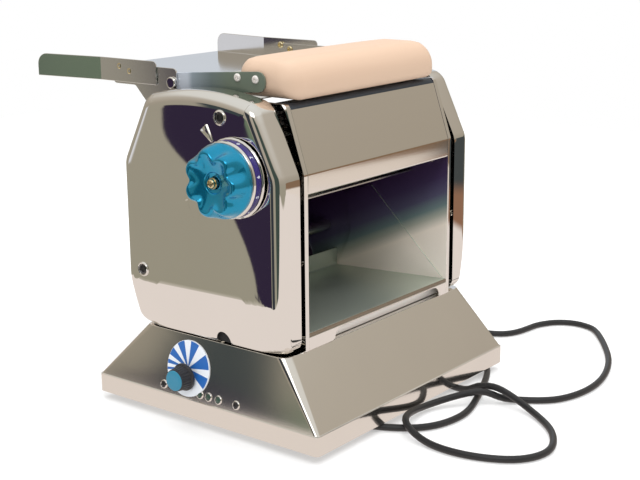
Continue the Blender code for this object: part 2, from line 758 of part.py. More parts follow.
def base_housing(machine):
    lip = RIM_STEP / 4
    inner_top = BASE_HEIGHT - BASE_WALL
    rings = [base_section(0.0, 0.0), base_section(RIM_HEIGHT, 0.0), base_section(RIM_HEIGHT + lip, 0.0)]
    rings += [base_section(BASE_HEIGHT, 0.0), base_section(inner_top, BASE_WALL)]
    rings += [base_section(RIM_HEIGHT + lip, BASE_WALL), base_section(0.0, BASE_WALL)]
    count = len(rings[0])
    verts = [v for one in rings for v in one]
    faces = []
    for r in (0, 1, 2, 4, 5):
        for k in range(count):
            n = (k + 1) % count
            faces.append((r * count + k, r * count + n, (r + 1) * count + n, (r + 1) * count + k))
    last = len(rings) - 1
    for k in range(count):
        n = (k + 1) % count
        faces.append((last * count + k, last * count + n, n, k))
    faces.append(tuple(3 * count + k for k in range(count)))
    faces.append(tuple(4 * count + k for k in range(count))[::-1])
    housing = solid("base_housing", verts, faces, "satin_steel", machine)
    reach = math.sqrt(IDLER_TIP_RADIUS**2 - (LOWER_IDLER_Z - BASE_HEIGHT) ** 2) + GEAR_ROOM
    gear_slot = box(
        "cut_gear_slot",
        (GEAR_INNER_X - GEAR_ROOM, REAR_ROLLER_Y - reach, inner_top - OVERRUN),
        (GEAR_OUTER_X + GEAR_ROOM, REAR_ROLLER_Y + reach, BASE_HEIGHT + OVERRUN),
        "dark_steel",
        machine,
    )
    stem_hole = rod(
        "cut_stem_hole",
        (SPEED_Y, SPEED_Z),
        SPEED_STEM_RADIUS + 2 * TRIM_GAP,
        -BASE_HALF_WIDTH - OVERRUN,
        -POT_FRONT_X,
        "dark_steel",
        machine,
    )
    cord_hole = rod(
        "cut_cord_hole",
        (CORD_EXIT_Y, CORD_EXIT_Z),
        RELIEF_RADIUS + GAP,
        BASE_HALF_WIDTH - BASE_WALL - OVERRUN,
        BASE_HALF_WIDTH + OVERRUN,
        "dark_steel",
        machine,
    )
    return cut(housing, gear_slot, stem_hole, cord_hole)


def base_plate(machine):
    inset = BASE_WALL + RIM_STEP + GAP
    outline = [(x, y) for x, y, z in base_section(0.0, inset)]
    plate = prism("base_plate", outline, "Z", BASE_PLATE_RISE, PLATE_TOP_Z, "zinc_steel", machine)
    left, right = VENT_X - VENT_LENGTH / 2, VENT_X + VENT_LENGTH / 2
    for k in range(VENT_COUNT):
        middle = REAR_ROLLER_Y + (k - (VENT_COUNT - 1) / 2) * VENT_PITCH
        slot = stadium(left, right, middle, VENT_WIDTH / 2, TINY_STEPS)
        name = "cut_vent_%d" % (k + 1)
        low, high = BASE_PLATE_RISE - OVERRUN, PLATE_TOP_Z + OVERRUN
        cut(plate, prism(name, slot, "Z", low, high, "dark_steel", machine))
    return plate


def feet(machine):
    foot_x = BASE_HALF_WIDTH - FOOT_SIDE_INSET
    foot_y = BASE_HALF_DEPTH - FOOT_END_INSET
    top = BASE_PLATE_RISE - GAP
    for end, y_sign in (("front", -1), ("rear", 1)):
        for side, x_sign in SIDES:
            centre = (x_sign * foot_x, y_sign * foot_y)
            profile = [
                (0.0, top),
                (FOOT_RADIUS, top),
                (FOOT_RADIUS - FOOT_CHAMFER, FLOOR_Z),
                (FOOT_RADIUS / 2, FLOOR_Z),
                (FOOT_RADIUS / 2 - FOOT_DISH, FLOOR_Z + FOOT_DISH),
                (0.0, FLOOR_Z + FOOT_DISH),
            ]
            turned("foot_%s_%s" % (end, side), profile, centre, "rubber", machine, SMALL_STEPS, axis="Z")


# Frame plates and side covers


def frame_plates(machine):
    outline = [
        (FRONT_Y, DECK_Z),
        (FRONT_Y, FRONT_BEND_Z),
        (SLOPE_TOP_Y, FRAME_TOP_Z),
        (FRAME_REAR_TOP_Y, FRAME_TOP_Z),
        (FRAME_REAR_Y, FRAME_REAR_BEND_Z),
        (FRAME_REAR_Y, FRAME_REAR_LOW_Z),
        (FRAME_REAR_FOOT_Y, FRAME_REAR_FOOT_Z),
        (FRAME_REAR_FOOT_Y, DECK_Z),
    ]
    radii = [0, FRAME_CORNER, FRAME_CORNER / 2, FRAME_CORNER, FRAME_CORNER, FRAME_CORNER, FRAME_CORNER, 0]
    spacer_end = COVER_FACE_X - COVER_WALL - 2 * GAP
    for side, sign in SIDES:
        low, high = along_side(sign, THROAT_HALF_WIDTH, FRAME_OUTER_X)
        rounded = fillet(outline, radii)
        plate = prism("frame_plate_" + side, rounded, "X", low, high, "polished_steel", machine)
        overrun_low, overrun_high = low - OVERRUN, high + OVERRUN
        slot = rectangle(
            FRONT_ROLLER_Y - BLOCK_HALF_DEPTH - GAP_TRAVEL - 2 * GAP,
            ROLLER_Z - BLOCK_HALF_HEIGHT - GAP,
            FRONT_ROLLER_Y + BLOCK_HALF_DEPTH + GAP,
            ROLLER_Z + BLOCK_HALF_HEIGHT + GAP,
        )
        cut(plate, prism("cut_slot_" + side, slot, "X", overrun_low, overrun_high, "dark_steel", machine))
        bush_hole = JOURNAL_RADIUS + GAP + BUSH_WALL + GAP
        rear_centre = (REAR_ROLLER_Y, ROLLER_Z)
        cross_centre = (FRONT_ROLLER_Y, CROSS_SHAFT_Z)
        for name, centre, radius, steps in (
            ("cut_bush_hole_", rear_centre, bush_hole, ROUND_STEPS),
            ("cut_cross_hole_", cross_centre, CROSS_SHAFT_RADIUS + GAP, SMALL_STEPS),
        ):
            span = (overrun_low, overrun_high, "dark_steel", machine, steps)
            cut(plate, rod(name + side, centre, radius, *span))
        for k, centre in enumerate(SPACER_PLACES):
            span = along_side(sign, FRAME_OUTER_X - FRAME_THICKNESS / 2, spacer_end)
            name = "add_spacer_%s_%d" % (side, k)
            fuse(plate, rod(name, centre, SPACER_RADIUS, *span, "zinc_steel", machine))


def inset_corners(corners, distance):
    """Moves a convex clockwise outline inwards, each corner along its own bisector."""
    moved = []
    count = len(corners)
    for i in range(count):
        here = Vector(corners[i])
        before = (here - Vector(corners[i - 1])).normalized()
        after = (Vector(corners[(i + 1) % count]) - here).normalized()
        run = (before + after).normalized()
        inward = Vector((run.y, -run.x))
        spread = inward.dot(Vector((after.y, -after.x)))
        moved.append(tuple(here + inward * (distance / spread)))
    return moved


def cover_outline(inset):
    """The side cover's outline from its front foot, over the crown, to its rear foot."""
    count = 2 * BEND_STEPS
    arch = []
    for k in range(1, count):
        share = k / count
        rise = COVER_CROWN * 4 * share * (1 - share)
        arch.append(((COVER_TOP_Y * (2 * share - 1), COVER_TOP_Z + rise), 0.0))
    middle_z = (COVER_BOTTOM_Z + COVER_LOW_BEND_Z) / 2
    middle_y = (COVER_BOTTOM_REAR_Y + COVER_REAR_Y) / 2
    corners = [
        ((COVER_FRONT_Y, COVER_BOTTOM_Z), COVER_FOOT_RADIUS),
        ((COVER_FRONT_Y, middle_z), 0.0),
        ((COVER_FRONT_Y, COVER_LOW_BEND_Z), 0.0),
        ((COVER_FRONT_Y, COVER_BEND_Z), COVER_BEND_RADIUS),
        ((-COVER_TOP_Y, COVER_TOP_Z), COVER_TOP_RADIUS),
    ]
    corners += arch
    corners += [
        ((COVER_TOP_Y, COVER_TOP_Z), COVER_TOP_RADIUS),
        ((COVER_REAR_Y, COVER_BEND_Z), COVER_BEND_RADIUS),
        ((COVER_REAR_Y, COVER_LOW_BEND_Z), 0.0),
        ((middle_y, middle_z), 0.0),
        ((COVER_BOTTOM_REAR_Y, COVER_BOTTOM_Z), COVER_FOOT_RADIUS),
    ]
    points = inset_corners([point for point, radius in corners], inset)
    radii = [max(radius - inset, GAP) if radius else 0.0 for point, radius in corners]
    return fillet(points, radii)


def tucked(x, y, z, reference):
    """Draws the cover's lower part in towards its rim."""
    if z >= TUCK_START_Z:
        return (x, y, z)
    depth = (TUCK_START_Z - z) / (TUCK_START_Z - COVER_BOTTOM_Z)
    weight = min(1.0, (x - COVER_RIM_X) / (reference - COVER_RIM_X))
    return (x - TUCK * depth * depth * weight, y, z)


def cover_skin(wall):
    """Rings of one skin of the cover, from its rim to the middle of its face."""
    reference = COVER_FACE_X - COVER_WALL - COVER_ROUND / 2
    bend = COVER_ROUND - wall
    rings = [(COVER_RIM_X, cover_outline(wall))]
    for k in range(BEND_STEPS + 1):
        angle = math.pi / 2 * k / BEND_STEPS
        x = COVER_FACE_X - wall - bend * (1 - math.sin(angle))
        rings.append((x, cover_outline(wall + bend * (1 - math.cos(angle)))))
    face = rings[-1][1]
    middle_y = sum(y for y, z in face) / len(face)
    middle_z = (COVER_BOTTOM_Z + COVER_TOP_Z) / 2
    for share in DOME_SHARES:
        x = COVER_FACE_X - wall + COVER_DOME * (1 - share**2)
        scaled = [(middle_y + (y - middle_y) * share, middle_z + (z - middle_z) * share) for y, z in face]
        rings.append((x, scaled))
    points = [[tucked(x, y, z, reference) for y, z in one] for x, one in rings]
    tip = (COVER_FACE_X - wall + COVER_DOME, middle_y, middle_z)
    return points, tip


def side_cover(machine, side, sign):
    outer, outer_tip = cover_skin(0.0)
    inner, inner_tip = cover_skin(COVER_WALL)
    count = len(outer[0])
    rings = outer + inner[::-1]
    verts = [(sign * x, y, z) for one in rings for x, y, z in one]
    faces = []
    outer_last = len(outer) - 1
    for r in range(len(rings) - 1):
        if r == outer_last:
            continue
        for k in range(count):
            n = (k + 1) % count
            faces.append((r * count + k, r * count + n, (r + 1) * count + n, (r + 1) * count + k))
    last = len(rings) - 1
    for k in range(count):
        n = (k + 1) % count
        faces.append((last * count + k, last * count + n, n, k))
    for tip, r in ((outer_tip, outer_last), (inner_tip, outer_last + 1)):
        verts.append((sign * tip[0], tip[1], tip[2]))
        middle = len(verts) - 1
        faces += [(r * count + k, r * count + (k + 1) % count, middle) for k in range(count)]
    cover = solid("side_cover_" + side, verts, faces, "polished_steel", machine)
    low, high = along_side(sign, COVER_RIM_X - OVERRUN, COVER_RIM_X + COVER_OPENING_INSET)
    floor_cut = box(
        "cut_cover_floor_" + side,
        (low, COVER_FRONT_Y + COVER_OPENING_INSET, COVER_BOTTOM_Z - OVERRUN),
        (high, COVER_BOTTOM_REAR_Y - COVER_OPENING_INSET, COVER_BOTTOM_Z + 2 * COVER_WALL),
        "dark_steel",
        machine,
    )
    cut(cover, floor_cut)
    if side == "left":
        notch_low = -COVER_OUTER_X - OVERRUN
        notch_high = -COVER_RIM_X - COVER_OPENING_INSET / 2
        oval = circle((NOTCH_Y, COVER_BOTTOM_Z), NOTCH_RADIUS, SMALL_STEPS, NOTCH_HEIGHT / NOTCH_RADIUS)
        cut(cover, prism("cut_notch", oval, "X", notch_low, notch_high, "dark_steel", machine))
        centre = (FRONT_ROLLER_Y, ROLLER_Z)
        span = (notch_low, -COVER_FACE_X + 2 * COVER_WALL, "dark_steel", machine)
        cut(cover, rod("cut_shaft_hole", centre, SHAFT_HOLE_RADIUS, *span))
    else:
        top_z = COVER_BOTTOM_Z + COVER_WALL + 2 * GEAR_ROOM
        reach = math.sqrt(IDLER_TIP_RADIUS**2 - (LOWER_IDLER_Z - top_z) ** 2) + GEAR_ROOM
        gear_notch = box(
            "cut_gear_notch",
            (COVER_RIM_X + GAP, REAR_ROLLER_Y - reach, COVER_BOTTOM_Z - OVERRUN),
            (GEAR_OUTER_X + GEAR_ROOM, REAR_ROLLER_Y + reach, top_z),
            "dark_steel",
            machine,
        )
        cut(cover, gear_notch)
    return cover


# Sheet panels between the frame plates


def upper_front_panel(machine):
    path = [
        (SLOPE_TOP_Y + PANEL_TOP_RETURN, FRAME_TOP_Z),
        (SLOPE_TOP_Y, FRAME_TOP_Z),
        (FRONT_Y, FRONT_BEND_Z),
        (FRONT_Y, PANEL_LOWER_Z),
        (FRONT_Y + PANEL_LOWER_RETURN, PANEL_LOWER_Z),
    ]
    radii = [0, PANEL_TOP_ROUND, PANEL_TOP_ROUND, PANEL_LOWER_ROUND, 0]
    outline = sheet_outline(fillet(path, radii, closed=False), SHEET)
    return prism("upper_front_panel", outline, "X", -INSIDE_X, INSIDE_X, "satin_steel", machine)


def front_apron(machine):
    top = CHUTE_FRONT_Z - CHUTE_HEM - GAP
    low = (-INSIDE_X, FRONT_Y, DECK_Z)
    high = (INSIDE_X, FRONT_Y + APRON_THICKNESS, top)
    apron = box("front_apron", low, high, "polished_steel", machine)
    slot = stadium(SLOT_LEFT_X, SLOT_RIGHT_X, DECK_Z, SLOT_HEIGHT)
    front, back = FRONT_Y - OVERRUN, FRONT_Y + APRON_THICKNESS + OVERRUN
    return cut(apron, prism("cut_apron_slot", slot, "Y", front, back, "dark_steel", machine))


def outlet_chute(machine):
    path = [
        (FRONT_Y, CHUTE_FRONT_Z - CHUTE_HEM),
        (FRONT_Y, CHUTE_FRONT_Z),
        (CHUTE_REAR_Y, CHUTE_REAR_Z),
        (CHUTE_REAR_Y, CHUTE_BAND_Z),
    ]
    folded = fillet(path, [0, PANEL_LOWER_ROUND / 2, PANEL_LOWER_ROUND, 0], closed=False)
    outline = sheet_outline(folded[::-1], SHEET)
    chute = prism("outlet_chute", outline, "X", -INSIDE_X, INSIDE_X, "polished_steel", machine)
    cheek = [
        (FRONT_Y + CHUTE_HEM, CHUTE_FRONT_Z - SHEET / 2),
        (CHEEK_TOP_Y, CHEEK_TOP_Z),
        (CHEEK_REAR_Y, CHEEK_REAR_TOP_Z),
        (CHEEK_WAIST_Y, CHEEK_WAIST_Z),
        (CHUTE_REAR_Y - SHEET / 2, CHUTE_REAR_Z + SHEET / 2),
        (CHUTE_REAR_Y - SHEET / 2, CHUTE_REAR_Z - SHEET / 2),
    ]
    for side, sign in SIDES:
        low, high = along_side(sign, INSIDE_X - SHEET, INSIDE_X)
        fuse(chute, prism("add_cheek_" + side, cheek, "X", low, high, "polished_steel", machine))
    return chute


def rear_panel(machine):
    foot_y = FRAME_REAR_FOOT_Y
    path = [
        (foot_y, DECK_Z),
        (foot_y, FRAME_REAR_FOOT_Z),
        (FRAME_REAR_Y, FRAME_REAR_LOW_Z),
        (FRAME_REAR_Y, FRAME_REAR_BEND_Z),
        (REAR_PANEL_TOP_Y, REAR_PANEL_TOP_Z),
        (REAR_PANEL_INNER_Y, REAR_PANEL_TOP_Z),
    ]
    outline = sheet_outline(fillet(path, PANEL_CORNER, closed=False), SHEET)
    return prism("rear_panel", outline, "X", -INSIDE_X, INSIDE_X, "satin_steel", machine)


def tie_rods(machine):
    for name, y, z in (
        ("lower_tie_rod", LOWER_ROD_Y, LOWER_ROD_Z),
        ("upper_tie_rod", UPPER_ROD_Y, UPPER_ROD_Z),
    ):
        profile = [
            (0.0, -INSIDE_X),
            (ROD_RADIUS - ROD_NECK, -INSIDE_X),
            (ROD_RADIUS, -INSIDE_X + ROD_NECK),
            (ROD_RADIUS, INSIDE_X - ROD_NECK),
            (ROD_RADIUS - ROD_NECK, INSIDE_X),
            (0.0, INSIDE_X),
        ]
        turned(name, profile, (y, z), "zinc_steel", machine, SMALL_STEPS)


# Rollers and their gear train


def roller(name, y, parent, left_end, right_end):
    face = THROAT_HALF_WIDTH - ROLLER_END_GAP
    profile = [
        (0.0, -left_end),
        (JOURNAL_RADIUS, -left_end),
        (JOURNAL_RADIUS, -face),
        (ROLLER_RADIUS - ROLLER_CHAMFER, -face),
        (ROLLER_RADIUS, -face + ROLLER_CHAMFER),
        (ROLLER_RADIUS, face - ROLLER_CHAMFER),
        (ROLLER_RADIUS - ROLLER_CHAMFER, face),
        (JOURNAL_RADIUS, face),
        (JOURNAL_RADIUS, right_end),
        (0.0, right_end),
    ]
    return turned(name, profile, (y, ROLLER_Z), "polished_steel", parent)


def gear(name, centre, teeth, module, phase, bore, low, high, look, parent):
    outline = gear_outline(centre, teeth, module, phase)
    wheel = prism(name, outline, "X", low, high, look, parent, smooth=False)
    if bore:
        steps = ROUND_STEPS if bore > JOURNAL_RADIUS else SMALL_STEPS
        span = (low - OVERRUN, high + OVERRUN, "dark_steel", parent, steps)
        cut(wheel, rod("cut_bore_" + name, centre, bore, *span))
    return wheel


def axis_empties(machine):
    """One empty on the axis of each joint; two ride on another joint's empty."""
    axes = {}
    for name, parent, location in (
        ("rear_roller_axis", None, (0.0, REAR_ROLLER_Y, ROLLER_Z)),
        ("carriage_axis", None, (0.0, FRONT_ROLLER_Y, ROLLER_Z)),
        ("front_roller_axis", "carriage_axis", (0.0, FRONT_ROLLER_Y, ROLLER_Z)),
        ("upper_idler_axis", None, (0.0, REAR_ROLLER_Y, UPPER_IDLER_Z)),
        ("lower_idler_axis", None, (0.0, REAR_ROLLER_Y, LOWER_IDLER_Z)),
        ("pinion_axis", None, (0.0, REAR_ROLLER_Y, PINION_Z)),
        ("adjuster_axis", None, (-FRAME_OUTER_X, FRONT_ROLLER_Y, ROLLER_Z)),
        ("knob_axis", "adjuster_axis", (-KNOB_X, FRONT_ROLLER_Y, ROLLER_Z)),
        ("cross_shaft_axis", None, (0.0, FRONT_ROLLER_Y, CROSS_SHAFT_Z)),
        ("guard_axis", None, (0.0, PIVOT_Y, PIVOT_Z)),
        ("speed_axis", None, (-SPEED_KNOB_X, SPEED_Y, SPEED_Z)),
    ):
        axes[name] = pivot(name, location, axes.get(parent, machine))
    return axes


def rollers(axes):
    left_end = JOURNAL_END_X
    right_end = GEAR_OUTER_X + SHAFT_STAND_OUT
    roller("rear_roller", REAR_ROLLER_Y, axes["rear_roller_axis"], left_end, right_end)
    roller("front_roller", FRONT_ROLLER_Y, axes["front_roller_axis"], left_end, right_end)


def gear_train(axes):
    down = -math.pi / 2
    rear_phase = 0.0
    front_phase = meshing_phase(math.pi, GEAR_TEETH, rear_phase, GEAR_TEETH)
    upper_phase = meshing_phase(down, GEAR_TEETH, rear_phase, IDLER_TEETH)
    lower_phase = meshing_phase(down, IDLER_TEETH, upper_phase, IDLER_TEETH)
    pinion_phase = meshing_phase(down, IDLER_TEETH, lower_phase, PINION_TEETH)
    journal_bore = JOURNAL_RADIUS + GAP
    stud_bore = STUD_RADIUS + GAP
    low, high = GEAR_INNER_X, GEAR_OUTER_X
    rear, front = REAR_ROLLER_Y, FRONT_ROLLER_Y
    for name, axis, y, z, teeth, phase, bore in (
        ("rear_roller_gear", "rear_roller_axis", rear, ROLLER_Z, GEAR_TEETH, rear_phase, journal_bore),
        ("front_roller_gear", "front_roller_axis", front, ROLLER_Z, GEAR_TEETH, front_phase, journal_bore),
        ("upper_idler_gear", "upper_idler_axis", rear, UPPER_IDLER_Z, IDLER_TEETH, upper_phase, stud_bore),
        ("lower_idler_gear", "lower_idler_axis", rear, LOWER_IDLER_Z, IDLER_TEETH, lower_phase, stud_bore),
        ("motor_pinion", "pinion_axis", rear, PINION_Z, PINION_TEETH, pinion_phase, 0.0),
    ):
        wheel = gear(name, (y, z), teeth, GEAR_MODULE, phase, bore, low, high, "gear_steel", axes[axis])
        if name == "motor_pinion":
            start = GEARBOX_HIGH_X - PINION_SHAFT_DEPTH
            end = GEAR_INNER_X + GEAR_WIDTH / 2
            span = (start, end, "gear_steel", axes[axis])
            fuse(wheel, rod("add_pinion_shaft", (y, z), PINION_SHAFT_RADIUS, *span))


def idler_studs(machine):
    collar = GEAR_INNER_X - GAP
    head = GEAR_OUTER_X + GAP
    for name, z in (("upper_idler_stud", UPPER_IDLER_Z), ("lower_idler_stud", LOWER_IDLER_Z)):
        profile = [
            (0.0, FRAME_OUTER_X + GAP),
            (STUD_HEAD_RADIUS, FRAME_OUTER_X + GAP),
            (STUD_HEAD_RADIUS, collar),
            (STUD_RADIUS, collar),
            (STUD_RADIUS, head),
            (STUD_HEAD_RADIUS, head),
            (STUD_HEAD_RADIUS, head + STUD_HEAD_WIDTH),
            (0.0, head + STUD_HEAD_WIDTH),
        ]
        turned(name, profile, (REAR_ROLLER_Y, z), "zinc_steel", machine, SMALL_STEPS)


def rear_bushes(machine):
    bore = JOURNAL_RADIUS + GAP
    barrel = bore + BUSH_WALL
    flange = barrel + BUSH_FLANGE
    near = THROAT_HALF_WIDTH + GAP
    step = FRAME_OUTER_X + GAP
    for side, sign in SIDES:
        profile = [
            (bore, sign * near),
            (barrel, sign * near),
            (barrel, sign * step),
            (flange, sign * step),
            (flange, sign * (step + BUSH_FLANGE_WIDTH)),
            (bore, sign * (step + BUSH_FLANGE_WIDTH)),
        ]
        turned("rear_bush_" + side, profile, (REAR_ROLLER_Y, ROLLER_Z), "bronze", machine, closed=True)


# Roller carriage and thickness adjuster


def bearing_blocks(axes):
    parent = axes["carriage_axis"]
    front = FRONT_ROLLER_Y - BLOCK_HALF_DEPTH
    rear = FRONT_ROLLER_Y + BLOCK_HALF_DEPTH
    low_z = ROLLER_Z - BLOCK_HALF_HEIGHT
    high_z = ROLLER_Z + BLOCK_HALF_HEIGHT
    outline = fillet(rectangle(front, low_z, rear, high_z), BLOCK_FILLET)
    for side, sign in SIDES:
        low, high = along_side(sign, THROAT_HALF_WIDTH + GAP, BLOCK_OUTER_X)
        block = prism("bearing_block_" + side, outline, "X", low, high, "bronze", parent)
        bore = JOURNAL_RADIUS + GAP
        span = (low - OVERRUN, high + OVERRUN, "bronze", parent, ROUND_STEPS)
        cut(block, rod("cut_journal_" + side, (FRONT_ROLLER_Y, ROLLER_Z), bore, *span))
        lug_low, lug_high = along_side(sign, LUG_INNER_X, BLOCK_OUTER_X)
        lug = box(
            "add_lug_" + side,
            (lug_low, LUG_REAR_Y - LUG_THICKNESS, high_z - LUG_THICKNESS),
            (lug_high, LUG_REAR_Y, CROSS_SHAFT_Z + LUG_RISE),
            "bronze",
            parent,
        )
        fuse(block, lug)


def scrapers(machine, axes):
    """A folded blade under each roller, on the side away from the outlet's front."""
    for name, y, sign, parent in (
        ("front_scraper", FRONT_ROLLER_Y, 1, axes["carriage_axis"]),
        ("rear_scraper", REAR_ROLLER_Y, -1, machine),
    ):
        reach = ROLLER_RADIUS + SCRAPER_CLEARANCE
        tip = (y + sign * reach * math.sin(SCRAPER_ANGLE), ROLLER_Z - reach * math.cos(SCRAPER_ANGLE))
        bend = (tip[0] - sign * SCRAPER_REACH, tip[1] - SCRAPER_REACH)
        end = (bend[0] - sign * SCRAPER_FLANGE, bend[1])
        outline = sheet_outline([tip, bend, end], sign * SHEET)
        prism(name, outline, "X", -INSIDE_X, INSIDE_X, "zinc_steel", parent)


def adjuster(axes):
    parent = axes["adjuster_axis"]
    centre = (FRONT_ROLLER_Y, ROLLER_Z)
    start = -(ADJUSTER_GEAR_X - SHAFT_STAND_OUT)
    head_low = -(KNOB_FRONT_X - SHAFT_HEAD_INSET)
    end = head_low + SHAFT_HEAD_WIDTH + GAP
    rod("adjuster_shaft", centre, ADJUSTER_SHAFT_RADIUS, end, start, "zinc_steel", parent)
    turned(
        "knob_screw",
        [
            (0.0, head_low),
            (SHAFT_HEAD_RADIUS - RIM_STEP, head_low),
            (SHAFT_HEAD_RADIUS, head_low + RIM_STEP),
            (SHAFT_HEAD_RADIUS, end - GAP),
            (0.0, end - GAP),
        ],
        centre,
        "polished_steel",
        parent,
        SMALL_STEPS,
    )
    low, high = -ADJUSTER_GEAR_X - ADJUSTER_GEAR_WIDTH, -ADJUSTER_GEAR_X
    bore = ADJUSTER_SHAFT_RADIUS + GAP
    span = (low, high, "gear_steel", parent)
    gear("adjuster_gear", centre, ADJUSTER_TEETH, ADJUSTER_MODULE, math.pi / 2, bore, *span)


def cam_outline(centre):
    """A rising spiral that starts opposite the lug and drops away after its range."""
    steps = 2 * SMALL_STEPS
    outline = []
    for k in range(steps + 1):
        share = k / steps
        outline.append((math.pi + KNOB_RANGE * share, CAM_LOW_RADIUS + GAP_TRAVEL * share))
    outline.append((math.pi + KNOB_RANGE + CAM_DROP, CAM_LOW_RADIUS))
    rest = 2 * math.pi - KNOB_RANGE - CAM_DROP
    for k in range(1, BEND_STEPS):
        outline.append((math.pi + KNOB_RANGE + CAM_DROP + rest * k / BEND_STEPS, CAM_LOW_RADIUS))
    return [(centre[0] + r * math.cos(a), centre[1] + r * math.sin(a)) for a, r in outline]


def cross_shaft(axes):
    parent = axes["cross_shaft_axis"]
    centre = (FRONT_ROLLER_Y, CROSS_SHAFT_Z)
    left_end = -(ADJUSTER_GEAR_X + ADJUSTER_GEAR_WIDTH + SHAFT_STAND_OUT)
    right_end = BLOCK_OUTER_X
    rod("cross_shaft", centre, CROSS_SHAFT_RADIUS, left_end, right_end, "zinc_steel", parent)
    low, high = -ADJUSTER_GEAR_X - ADJUSTER_GEAR_WIDTH, -ADJUSTER_GEAR_X
    bore = CROSS_SHAFT_RADIUS + GAP
    phase = meshing_phase(math.pi / 2, ADJUSTER_TEETH, math.pi / 2, ADJUSTER_TEETH)
    span = (low, high, "gear_steel", parent)
    gear("cross_gear", centre, ADJUSTER_TEETH, ADJUSTER_MODULE, phase, bore, *span)
    for side, sign in SIDES:
        low, high = along_side(sign, LUG_INNER_X, BLOCK_OUTER_X)
        cam = prism("cam_" + side, cam_outline(centre), "X", low, high, "zinc_steel", parent)
        cut(cam, rod("cut_cam_" + side, centre, bore, low - OVERRUN, high + OVERRUN, "zinc_steel", parent))


def adjuster_bridge(machine):
    """A plate on two posts that carries the outer end of the knob's shaft."""
    shaft = (FRONT_ROLLER_Y, ROLLER_Z)
    posts = ((FRONT_ROLLER_Y, BRIDGE_LOW_POST_Z), (BRIDGE_TOP_POST_Y, BRIDGE_TOP_POST_Z))
    rounds = circle(shaft, BRIDGE_HUB_RADIUS)
    for post in posts:
        rounds += circle(post, BRIDGE_EDGE_RADIUS)
    far = -BRIDGE_X - BRIDGE_THICKNESS
    bridge = prism("adjuster_bridge", hull(rounds), "X", far, -BRIDGE_X, "zinc_steel", machine)
    bore = ADJUSTER_SHAFT_RADIUS + GAP
    cut(bridge, rod("cut_bridge", shaft, bore, far - OVERRUN, -BRIDGE_X + OVERRUN, "zinc_steel", machine))
    for k, post in enumerate(posts):
        low = -BRIDGE_X - BRIDGE_THICKNESS / 2
        high = -FRAME_OUTER_X - GAP
        post_rod = rod("add_bridge_post_%d" % k, post, BRIDGE_POST_RADIUS, low, high, "zinc_steel", machine)
        fuse(bridge, post_rod)
    return bridge


# The thickness knob


def knob_rings(machine, axes):
    centre = (FRONT_ROLLER_Y, ROLLER_Z)
    low = -COVER_OUTER_X - GAP - TRIM_RING_WIDTH
    profile = [
        (TRIM_RING_BORE, low),
        (TRIM_RING_RADIUS - TRIM_RING_CHAMFER, low),
        (TRIM_RING_RADIUS, low + TRIM_RING_CHAMFER),
        (TRIM_RING_RADIUS, -COVER_OUTER_X - GAP),
        (TRIM_RING_BORE, -COVER_OUTER_X - GAP),
    ]
    turned("trim_ring", profile, centre, "polished_steel", machine, closed=True)
    bore = ADJUSTER_SHAFT_RADIUS + GAP
    front = -KNOB_X
    profile = [
        (bore, front),
        (DIAL_RADIUS - 2 * DIAL_RIM_CHAMFER, front),
        (DIAL_RADIUS - DIAL_RIM_CHAMFER, front + DIAL_RIM_CHAMFER),
        (DIAL_RADIUS, -DIAL_X - DIAL_RIM_CHAMFER),
        (DIAL_RADIUS - DIAL_RIM_CHAMFER, -DIAL_X),
        (bore, -DIAL_X),
    ]
    turned("dial_ring", profile, centre, "dial_violet", axes["knob_axis"], closed=True)


def fluted(radius, depth, steps):
    """A round outline with lobes and hollows between them."""
    points = []
    for k in range(steps):
        angle = 2 * math.pi * k / steps
        wave = abs(math.cos(KNOB_LOBES * angle / 2))
        points.append((radius - depth * wave**KNOB_HOLLOW_POWER, angle))
    return points


def adjuster_knob(axes):
    """The fluted knob: a bore, a plain foot, eight hollows and a dished face."""
    centre = (FRONT_ROLLER_Y, ROLLER_Z)
    back = -KNOB_X - GAP
    front = -KNOB_FRONT_X
    steps = KNOB_LOBES * KNOB_LOBE_STEPS
    bore = ADJUSTER_SHAFT_RADIUS + GAP
    floor = front + KNOB_DISH_DEPTH
    shoulder = back - KNOB_FOOT
    sections = [
        (bore, 0.0, back),
        (KNOB_RADIUS - KNOB_CHAMFER, 0.0, back),
        (KNOB_RADIUS, 0.0, back - KNOB_CHAMFER),
        (KNOB_RADIUS, 0.0, shoulder),
        (KNOB_RADIUS - KNOB_CHAMFER, KNOB_FLUTE, shoulder - KNOB_CHAMFER),
        (KNOB_RADIUS - KNOB_CHAMFER, KNOB_FLUTE, front + 2 * KNOB_CHAMFER),
        (KNOB_RADIUS - 2 * KNOB_CHAMFER, KNOB_FLUTE, front + KNOB_CHAMFER / 2),
        (KNOB_RADIUS - 3 * KNOB_CHAMFER, KNOB_FLUTE, front),
        (KNOB_DISH_RADIUS, 0.0, front),
        (KNOB_DISH_FLOOR_RADIUS, 0.0, floor),
        (bore, 0.0, floor),
    ]
    verts = []
    for radius, depth, x in sections:
        for r, angle in fluted(radius, depth, steps):
            verts.append((x, centre[0] + r * math.cos(angle), centre[1] + r * math.sin(angle)))
    faces = []
    for s in range(len(sections)):
        t = (s + 1) % len(sections)
        for k in range(steps):
            n = (k + 1) % steps
            faces.append((s * steps + k, s * steps + n, t * steps + n, t * steps + k))
    return solid("adjuster_knob", verts, faces, "blue_knob", axes["knob_axis"])


# Guard and feed tray


